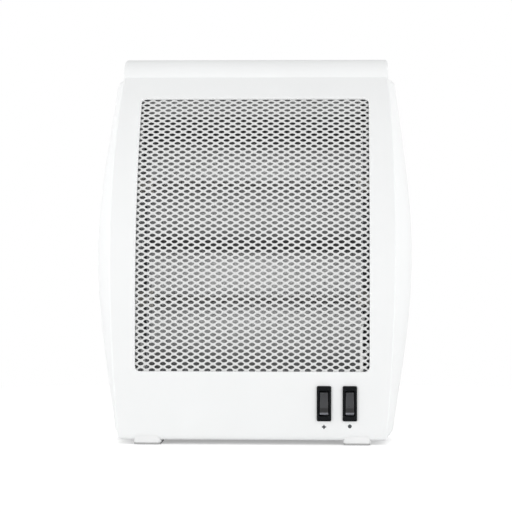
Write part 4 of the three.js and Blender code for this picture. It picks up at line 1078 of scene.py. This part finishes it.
def heating_coil(level, z):
    node = f"heating_coil_{level}"
    reach = extent(node, 0)[1] - 0.45
    per_turn, tail = 12, 5.0
    line = []
    for i in range(COIL_TURNS * per_turn + 1):
        t, a = i / (COIL_TURNS * per_turn), tau * i / per_turn
        y, up = TUBE_Y + COIL_RADIUS * cos(a), z + COIL_RADIUS * sin(a)
        line.append((mix(tail - reach, reach - tail, t), y, up))
    start, end = line[0], line[-1]
    lead_in = [(mix(-reach, start[0], t), start[1], start[2] - 1.2 * (1 - t)) for t in (0, 0.35, 0.7)]
    lead_out = [(mix(end[0], reach, t), end[1], end[2] - 1.2 * t) for t in (0.3, 0.65, 1)]
    coil = sweep(lead_in + line + lead_out, COIL_WIRE, 6)
    build(f"coil_{level}", coil, "heating_wire", node=node, sharp=70)


def ceramic_holder(level, side, sign, z):
    node = f"ceramic_holder_{level}_{side}"
    near, far = sorted(abs(v) for v in extent(node, 0))
    face, socket_end = near + 3, near + 7
    profile = [
        (5.8, near + 0.4), (6.3, near), (8.1, near), (8.6, near + 0.5), (8.6, face - 0.4), (8.2, face),
        (7.3, face), (7, face + 0.3), (7, mix(face, far, 0.3)), (6.6, mix(face, far, 0.36)),
        (6.6, mix(face, far, 0.44)), (7, mix(face, far, 0.5)), (7, far - 0.6), (6.4, far), (2.3, far),
        (2, far - 0.3), (2, socket_end), (5.8, socket_end),
    ]
    build(f"holder_{level}_{side}", turn(profile, 48, along_x(sign, z)), "ceramic", node=node, sharp=32)


def hexagon(radius, limit, height, sides=48):
    """A ring of a hexagon whose corners are taken off at a limit radius."""
    ring = []
    for k in range(sides):
        a = tau * k / sides
        r = radius * cos(pi / 6) / cos((a % (pi / 3)) - pi / 6)
        ring.append((min(r, limit) * cos(a), min(r, limit) * sin(a), height))
    return ring


def terminal(level, side, sign, z):
    node = f"terminal_{level}_{side}"
    near, far = sorted(abs(v) for v in extent(node, 0))
    nut_face = far - 4.2
    place = along_x(sign, z)
    profile = [(0, near), (3.3, near), (3.6, near + 0.3), (3.6, near + 1), (1.7, near + 1)]
    profile.append((1.7, nut_face + 2.5))
    profile += [(1.7 - 0.2 * (k % 2), nut_face + 2.7 + 0.2 * k) for k in range(6)]
    profile += [(1.3, far), (0, far)]
    angles = [pi * k / 24 for k in range(48)]
    bore = [(1.72, nut_face + 0.1), (1.72, nut_face + 2.4)]
    rings = [[(r * cos(a), r * sin(a), h) for a in angles] for r, h in bore]
    for limit, h in ((2.9, 2.5), (3.05, 2.35), (3.4, 2), (3.4, 0.5), (2.9, 0)):
        rings.append(hexagon(3.4, limit, nut_face + h))
    nut = loft([[place(*p) for p in ring] for ring in rings], caps=False, loop=True)
    shape = joined(turn(profile, 24, place), nut)
    build(f"stud_{level}_{side}", shape, "steel_hardware", node=node, sharp=40)


def chamber():
    reflector()
    for level in ("lower", "upper"):
        z = middle(f"quartz_tube_{level}", 2)
        quartz_tube(level, z)
        heating_coil(level, z)
        for side, sign in (("left", -1), ("right", 1)):
            ceramic_holder(level, side, sign, z)
            terminal(level, side, sign, z)


chamber()

# ---- rocker switches

SWITCH_X = [middle(f"switch_housing_{side}", 0) for side in ("left", "right")]
SWITCH_Z = middle("switch_housing_left", 2)
PIVOT_Y = 2.2
ROCKER_RADIUS = 10.6
ROCKER_HALF = 3.8
ROCKER_FACE = -3.8  # the face's y from the pivot
ROCKER_SLOPE = tan(radians(20))  # of the raised half
SWITCH_BODY, BEZEL = (5.5, 14.3), (6.5, 15.85)  # half widths and heights
BEZEL_ROUND = 0.9


def switch_housing(side):
    node = f"switch_housing_{side}"
    cx = middle(node, 0)
    front, back = extent(node, 1)

    def ring(half_x, half_z, radius, y):
        flat = rounded(-half_x, -half_z, half_x, half_z, radius, 5)
        return [(cx + x, y, SWITCH_Z + z) for x, z in flat]

    (body_x, body_z), (bezel_x, bezel_z) = SWITCH_BODY, BEZEL
    rings = [ring(body_x - 0.5, body_z - 0.5, 0.5, back), ring(body_x, body_z, 0.8, back - 0.5)]
    rings += [ring(body_x, body_z, 0.8, -GAP), ring(bezel_x - 0.1, bezel_z - 0.1, 1.2, -GAP)]
    rings.append(ring(bezel_x, bezel_z, 1.3, -GAP - 0.15))
    for sine, cosine in quarter(5):
        inset = BEZEL_ROUND * (1 - cosine)
        y = front + BEZEL_ROUND * (1 - sine)
        rings.append(ring(bezel_x - inset, bezel_z - inset, 1.3 - inset / 2, y))
    rings += [ring(4.75, 12.1, 0.9, front + 0.02), ring(4.25, 11.4, 0.7, front + 0.45)]
    rings += [ring(4.1, 11.2, 0.6, y) for y in (front + 0.9, 4, 12.9)] + [ring(3.6, 10.7, 0.4, 13.3)]
    housing = build(f"switch_{side}", loft(rings), "black_gloss", node=node, sharp=34)
    bearing = [(0, -4.9), (1.6, -4.9), (1.6, 4.9), (0, 4.9)]
    shape = turn(bearing, 24, lambda u, v, h: (cx + h, PIVOT_Y + u, SWITCH_Z + v))
    boolean(housing, build("bearing_cutter", shape, "black_gloss", body=None), 34)


def rocker_outline(inset):
    """(y, z) round a rocker about its pivot: pressed half above, raised half below, each a little hollow."""
    radius, face = ROCKER_RADIUS - inset, ROCKER_FACE + inset
    top = sqrt(radius**2 - face**2)
    points = [(face + 0.32 * sin(pi * t), top * t) for t in steps(1, 0, 12)]
    low = 0.0
    while (face - low * ROCKER_SLOPE) ** 2 + low**2 < radius**2:
        low += 0.02
    for t in steps(0, 1, 12)[1:]:
        points.append((face - low * t * ROCKER_SLOPE + 0.28 * sin(pi * t), -low * t))
    start, end = atan2(-low, face - low * ROCKER_SLOPE), atan2(top, face)
    for t in steps(0, 1, 40)[1:-1]:
        a = start + (tau - (start - end) % tau) % tau * t
        points.append((radius * cos(a), radius * sin(a)))
    return points


def rocker(side):
    node = f"rocker_{side}"
    cx, half = middle(node, 0), ROCKER_HALF
    stations = [(-half, 0.45), (-half + 0.12, 0.2), (-half + 0.45, 0)]
    stations += [(x, 0) for x in steps(-half + 0.9, half - 0.9, 4)] + [(-x, i) for x, i in reversed(stations)]
    rings = [[(cx + x, PIVOT_Y + y, SWITCH_Z + z) for y, z in rocker_outline(inset)] for x, inset in stations]
    pin = [(0, half - 0.6), (1.3, half - 0.6), (1.3, half + 0.7), (1.1, half + 0.8), (0, half + 0.8)]
    left, right = (
        turn(pin, 20, lambda u, v, h: (cx + sign * h, PIVOT_Y + u, SWITCH_Z + v)) for sign in (-1, 1)
    )
    shape = joined(loft(rings), left, right)
    build(f"rocker_key_{side}", shape, "rocker_satin", body=node, node=node, sharp=34)


STAR_RADII = [2.3, 1.25]
DOT_RADIUS = 1.75


def print_marks():
    """Two plain printed marks below the switches: a small diamond with hollow sides and a dot."""
    near, far = -0.05, 0.03
    star, dot = STAR_RADII * 4, [DOT_RADIUS] * 24
    for name, x, z, radii in (("diamond", SWITCH_X[0], 16.5, star), ("dot", SWITCH_X[1], 17.1, dot)):
        turns = around(len(radii))
        flat = [(x + r * cos(a), z + r * sin(a)) for r, a in zip(radii, turns)]
        build(f"mark_{name}", loft([[(u, y, v) for u, v in flat] for y in (far, near)]), "print_ink")


for side in ("left", "right"):
    switch_housing(side)
    rocker(side)
print_marks()

# ---- tip-over switch, gland and leads


COLLAR_Z = 10.5  # underside of the plunger's collar
SPRING_TURNS, SPRING_RADIUS, SPRING_WIRE = 6, 3.7, 0.38
SLEEVE_RADIUS = 1.38


def tip_plunger(x, y):
    (low, high), collar = extent("tip_plunger", 2), COLLAR_Z
    profile = [
        (0, low), (1.5, low), (2.2, low + 0.3), (2.6, low + 1), (2.6, collar), (4.3, collar),
        (4.6, collar + 0.3), (4.6, collar + 1.7), (4.3, collar + 2), (2.9, collar + 2), (2.9, high - 0.5),
        (2.4, high), (0, high),
    ]
    shape = turn(profile, 36, lambda u, v, h: (x + u, y + v, h))
    build("plunger_pin", shape, "black_satin", body="tip_plunger", node="tip_plunger")


def tip_spring(x, y):
    """Closed turns at both ends, wound between the switch's body and the plunger's collar."""
    low, high = extent("tip_spring", 2)
    line, per_turn = [], 24
    for i in range(SPRING_TURNS * per_turn + 1):
        t = i / (SPRING_TURNS * per_turn)
        rise = min(1.0, max(0.0, (t - 0.12) / 0.76))
        a = tau * SPRING_TURNS * t
        z = mix(low + 0.4, high - 0.4, 0.06 * t + 0.94 * rise)
        line.append((x + SPRING_RADIUS * cos(a), y + SPRING_RADIUS * sin(a), z))
    shape = sweep(line, SPRING_WIRE, 10)
    spring = build("plunger_spring", shape, "steel_hardware", body=None, node="tip_spring", sharp=70)
    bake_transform(spring)


def cable_gland():
    def ring(radius, y, scallop=0.0):
        points = []
        for k in range(96):
            a = tau * k / 96
            r = radius - scallop * (0.5 + 0.5 * cos(16 * a)) ** 3
            points.append((GLAND_X + r * cos(a), y, GLAND_Z + r * sin(a)))
        return points

    near, far = extent("cable_gland", 1)
    seat = DEPTH + GAP
    rings = [
        ring(*place)
        for place in (
            (4, near + 0.5), (4.5, near), (6.6, near), (7, near + 0.4), (7, seat), (9.6, seat, 0.3),
            (10, seat + 0.4, 0.5), (10, far - 1.1, 0.5), (9.4, far - 0.5, 0.3), (8.6, far - 0.15), (7, far),
            (4.8, far), (4.2, far - 0.3), (4, far - 1),
        )
    ]
    build("gland_bush", loft(rings, loop=True), "gland_grey", node="cable_gland", sharp=40)


def blended(p, q, start, end, u):
    return p * ((end - u) / (end - start)) + q * ((u - start) / (end - start))


def smooth_line(points, count):
    """A centripetal curve through points, as evenly spaced points."""
    pts = [Vector(p) for p in points]
    pts = [pts[0] * 2 - pts[1]] + pts + [pts[-1] * 2 - pts[-2]]
    fine = []
    for i in range(1, len(pts) - 2):
        p = pts[i - 1 : i + 3]
        t = [0.0]
        for a, b in zip(p, p[1:]):
            t.append(t[-1] + max(1e-4, (b - a).length ** 0.5))
        for k in range(24):
            u = mix(t[1], t[2], k / 24)
            a = [blended(p[n], p[n + 1], t[n], t[n + 1], u) for n in range(3)]
            b = [blended(a[n], a[n + 1], t[n], t[n + 2], u) for n in range(2)]
            fine.append(blended(b[0], b[1], t[1], t[2], u))
    fine.append(pts[-2])
    lengths = [0.0]
    for a, b in zip(fine, fine[1:]):
        lengths.append(lengths[-1] + (b - a).length)
    line, i = [], 0
    for target in steps(0, lengths[-1], count):
        while i < len(fine) - 2 and lengths[i + 1] < target:
            i += 1
        share = (target - lengths[i]) / max(1e-9, lengths[i + 1] - lengths[i])
        line.append(tuple(fine[i].lerp(fine[i + 1], share)))
    return line


def leads():
    lower, upper = (middle(f"quartz_tube_{level}", 2) for level in ("lower", "upper"))
    left, right = (middle(f"switch_housing_{side}", 0) for side in ("left", "right"))
    stud = extent("terminal_upper_right", 0)[1] + GAP
    slot, shield = CHEEK_RIM_X - 9, extent("heat_shield", 2)[1]
    spade, load, feed = extent("switch_spade_right_load", 1)[1] + GAP, SWITCH_Z + 8, SWITCH_Z - 8
    block, block_z = extent("terminal_block", 1)[0] - GAP, middle("terminal_block", 2)
    pole = lambda i: middle("terminal_block", 0) + i * 34 / 3
    tip_x, tip = middle("tip_switch_body", 0), extent("tip_switch_body", 1)[0] - GAP
    nut = stud - 3.25
    through = lambda x, y: [(x, y, shield - 9), (x, y, shield + 7)]
    routes = {
        "lead_lower_right": [
            (right, spade, load), (right, spade + 4, load + 1), (slot - 3, 30, 49), *through(slot, 14),
            (slot - 0.4, 5.4, 66), (slot - 0.6, 4.98, 84), (slot - 0.6, 5.0, 101), (slot + 1, 10, 112),
            (slot + 5, 36, 118), (slot + 7, 50, 121), (stud + 3, TUBE_Y - 8, lower - 1),
            (stud + 4, TUBE_Y, lower), (stud, TUBE_Y, lower),
        ],
        "lead_upper_right": [
            (left, spade, load), (left, spade + 6, load + 1), (slot - 15, 42, 50), *through(slot, 27),
            (slot + 7, 38, 86), (stud + 6, 62, 110), (stud + 11, TUBE_Y + 6, lower + 21),
            (stud + 11, TUBE_Y + 4, upper - 32), (stud + 6, TUBE_Y + 1, upper - 6), (stud + 4, TUBE_Y, upper),
            (stud, TUBE_Y, upper),
        ],
        "lead_left_jumper": [
            (-stud, TUBE_Y, upper), (-stud - 4, TUBE_Y, upper), (-stud - 6, TUBE_Y, upper - 8),
            (-stud - 8, TUBE_Y, (upper + lower) / 2), (-stud - 6, TUBE_Y, lower + 8),
            (-stud - 4, TUBE_Y, lower), (-stud, TUBE_Y, lower),
        ],
        "lead_neutral": [
            (pole(-1), block, block_z), (pole(-1), block - 5, block_z + 1), (42, 66, 22), (0, 56, 30),
            (15 - slot, 30, 46), *through(-slot, 18), (-slot - 3, 26, 88), (-nut, 44, 112),
            (-nut, TUBE_Y - 12, lower - 1), (-nut, TUBE_Y - 3.7, lower),
        ],
        "lead_supply": [
            (pole(0), block, block_z), (pole(0), block - 5, block_z - 1), (52, 68, 9), (0, 72, 9),
            (tip_x + 6, tip - 8, 10), (tip_x, tip - 4, 11), (tip_x, tip, 11),
        ],
        "lead_switch_feed": [
            (tip_x - 6, tip, 24), (tip_x - 6, tip - 8, 24), (-20, 60, 20), (30, 44, 18),
            (left - 6, spade + 7, 22), (left, spade + 5, feed), (left, spade, feed),
        ],
    }
    for node, points in routes.items():
        sleeve = sweep(smooth_line(points, 90), SLEEVE_RADIUS, 14)
        build(node.replace("lead_", "sleeve_"), sleeve, "lead_sleeve", node=node, sharp=60)


tip_plunger(middle("tip_plunger", 0), middle("tip_plunger", 1))
tip_spring(middle("tip_plunger", 0), middle("tip_plunger", 1))
cable_gland()
leads()

# ---- feet

FOOT_TOP = PANEL_BOTTOM - GAP
SOLE_RISE = 1.7  # a sole this thick, set in a little from the white moulding, and greyed by painted shade
SOLE_GROOVE = 0.2


def foot(end, side):
    """A moulded foot with a rounded sole; the front ones end in a lip that wraps up the toe."""
    node, screw = f"foot_{end}_{side}", f"foot_screw_{end}_{side}"
    (left, right), (near, far), (_, top) = (extent(node, axis) for axis in range(3))
    at_x, at_y = middle(screw, 0), middle(screw, 1)

    def ring(inset, z, front=None):
        y = near if front is None else front
        flat = rounded(left + inset, y + inset, right - inset, far - inset, 4 - inset)
        return [(x, y, z) for x, y in flat]

    sole = SOLE_RISE - SOLE_GROOVE
    rings = [ring(*at) for at in ((0.9, 0), (0.55, 0.1), (0.4, 0.4), (0.4, sole), (0.9, sole))]
    rings += [ring(inset, SOLE_RISE + up) for inset, up in ((0.9, 0), (0.3, 0), (0.1, 0.1), (0, 0.3))]
    if end == "front":
        rings += [ring(0, 4.8), ring(0, (4.8 + top) / 2, near + 0.2), ring(0, top, near + 0.6)]
    else:
        rings += [ring(0, FOOT_TOP - 0.4), ring(0.4, FOOT_TOP)]
    piece = build(f"foot_pad_{end}_{side}", loft(rings), "foot_white", node=node, sharp=40)
    if end == "front":
        toe = [up_front(s, -GAP) for s in steps(0, TOE_LENGTH, 16)]
        toe += [(-GAP, top + 20), (far + 20, top + 20), (far + 20, FOOT_TOP)]
        shape = loft([[(x, y, z) for y, z in toe] for x in (left - 5, right + 5)])
        boolean(piece, build("toe_cutter", shape, "foot_white", body=None))
    bore = [(0, -1), (3.9, -1), (3.9, 0.3), (3.7, 0.5), (3.7, 2.4), (1.9, 2.4), (1.9, top + 2), (0, top + 2)]
    shape = turn(bore, 40, lambda u, v, h: (at_x + u, at_y + v, h))
    boolean(piece, build("bore_cutter", shape, "foot_white", body=None), 40)


for end in ("front", "rear"):
    for side in ("left", "right"):
        foot(end, side)

# ---- frame nodes that stay as they are

KEPT = {
    "base_plate": ("white_steel", 0.3), "heat_shield": ("galvanised", 0.25),
    "reflector_end_left": ("galvanised", 0.25), "reflector_end_right": ("galvanised", 0.25),
    "tip_switch_body": ("cream_plastic", 0.5), "terminal_block": ("cream_plastic", 0.4),
    "switch_spade_left_feed": ("steel_hardware", 0.1), "switch_spade_left_load": ("steel_hardware", 0.1),
    "switch_spade_right_feed": ("steel_hardware", 0.1), "switch_spade_right_load": ("steel_hardware", 0.1),
}  # each node's finish and the width of its softened edges


def dress_kept():
    for name, (finish, width) in KEPT.items():
        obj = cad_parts[name]
        if not obj.material_slots:
            obj.data.materials.append(FINISHES[finish])
        for slot in obj.material_slots:
            slot.material = FINISHES[finish]
        weld = obj.modifiers.new("weld", "WELD")
        weld.merge_threshold = 1e-6
        obj.data.shade_smooth()
        bevel(obj, width, 2, 34).modifiers["edge"].harden_normals = True


dress_kept()

# ---- stage, light and camera


FLOOR_REACH, FLOOR_FRONT, FLOOR_BACK = 4.0, -4.0, 1.6
BACKDROP_RADIUS, BACKDROP_TOP = 0.8, 3.4
FLOOR_GLOW = 0.36  # what the camera sees the floor give by itself, near the heater
FADE = (0.3, 0.8)  # distances between which the floor turns to plain white for the camera
SKY_LEVEL = (0.74, 0.6)  # near the horizon, and overhead


def floor_finish():
    """Matte and pale; for the camera it fades to plain white, and its shadows near the heater stay."""
    mat = bpy.data.materials.new("floor")
    mat.use_nodes = True
    tree = mat.node_tree
    tree.nodes.remove(tree.nodes["Principled BSDF"])
    matte = add(tree, "BsdfDiffuse", Color=(0.9, 0.9, 0.9, 1))
    glow, blank = add(tree, "Emission"), add(tree, "Emission")
    both, fade, away = add(tree, "AddShader"), add(tree, "MixShader"), add(tree, "VectorMath")
    away.operation = "LENGTH"
    seen = add(tree, "LightPath").outputs["Is Camera Ray"]
    link(coordinates(tree), away.inputs[0])
    far = span(away.outputs["Value"], 0, 1, FADE)
    link(math_node("MULTIPLY", seen, FLOOR_GLOW), glow.inputs["Strength"])
    link(math_node("MULTIPLY", seen, far), fade.inputs["Fac"])
    link(matte.outputs["BSDF"], both.inputs[0])
    link(glow.outputs["Emission"], both.inputs[1])
    link(both.outputs["Shader"], fade.inputs[1])
    link(blank.outputs["Emission"], fade.inputs[2])
    link(fade.outputs["Shader"], tree.nodes["Material Output"].inputs["Surface"])
    return mat


def stage():
    """A pale floor that rises into a backdrop well behind the heater."""
    back, radius = FLOOR_BACK, BACKDROP_RADIUS
    profile = [(FLOOR_FRONT, 0.0), (back, 0.0)]
    profile += [(back + radius * sine, radius - radius * cosine) for sine, cosine in quarter(12)]
    profile.append((back + radius, BACKDROP_TOP))
    n = len(profile)
    mesh = bpy.data.meshes.new("floor")
    mesh.from_pydata(
        [(x, y, z) for x in (-FLOOR_REACH, FLOOR_REACH) for y, z in profile],
        [],
        [(i, i + 1, n + i + 1, n + i) for i in range(n - 1)],
    )
    mesh.shade_smooth()
    mesh.materials.append(floor_finish())
    placed("floor", mesh)


def sky():
    """Even light all round, dimmer overhead; white where the camera, gloss or glass sees it."""
    world = bpy.context.scene.world or bpy.data.worlds.new("world")
    bpy.context.scene.world = world
    world.use_nodes = True
    tree = world.node_tree
    tree.nodes.clear()
    level = span(height_in(add(tree, "TexCoord").outputs["Generated"]), *SKY_LEVEL, (0.1, 1.0))
    path = add(tree, "LightPath").outputs
    seen = path["Is Camera Ray"]
    for ray in ("Is Glossy Ray", "Is Transmission Ray"):
        seen = math_node("MAXIMUM", seen, path[ray])
    strength, background = add(tree, "Mix", B=1.0), add(tree, "Background", Color=(1, 1, 1, 1))
    link(seen, strength.inputs["Factor"])
    link(level, strength.inputs["A"])
    link(strength.outputs["Result"], background.inputs["Strength"])
    link(background.outputs["Background"], add(tree, "OutputWorld").inputs["Surface"])


def lamp(name, at, size, power):
    data = bpy.data.lights.new(name, "AREA")
    data.shape, data.size, data.size_y, data.energy = "RECTANGLE", size[0], size[1], power
    obj = placed(name, data)
    obj.location = at
    obj.rotation_euler = (Vector(LAMP_AIM) - Vector(at)).to_track_quat("-Z", "Y").to_euler()


LAMP_AIM = (0, 0, 0.16)
LAMPS = {
    "front left": ((-1.5, -2.0, 0.4), (1.3, 0.72), 13.2),
    "front right": ((1.7, -1.9, 0.4), (1.2, 0.72), 11.6),
    "side left": ((-1.9, 0.1, 0.5), (1.0, 1.2), 9.0),
    "side right": ((1.9, 0.1, 0.5), (1.0, 1.2), 8.6),
}  # place, size and power
CAMERA_AT, CAMERA_TARGET = Vector((0.070, FRONT - 1.8, 0.171)), Vector((0.0035, FRONT, 0.170))
CAMERA_LENS, CAMERA_ROLL = 140.8, 0.08


def camera():
    data = bpy.data.cameras.new("camera")
    data.lens, data.sensor_width = CAMERA_LENS, 36.0
    obj = placed("camera", data)
    obj.location = CAMERA_AT
    turn_by = (CAMERA_TARGET - CAMERA_AT).to_track_quat("-Z", "Y").to_matrix().to_4x4()
    roll = Matrix.Rotation(radians(CAMERA_ROLL), 4, "Z")
    obj.rotation_euler = (turn_by @ roll).to_euler()
    bpy.context.scene.camera = obj


stage()
sky()
for name, values in LAMPS.items():
    lamp(name, *values)
camera()
bpy.context.scene.view_settings.view_transform = "Standard"
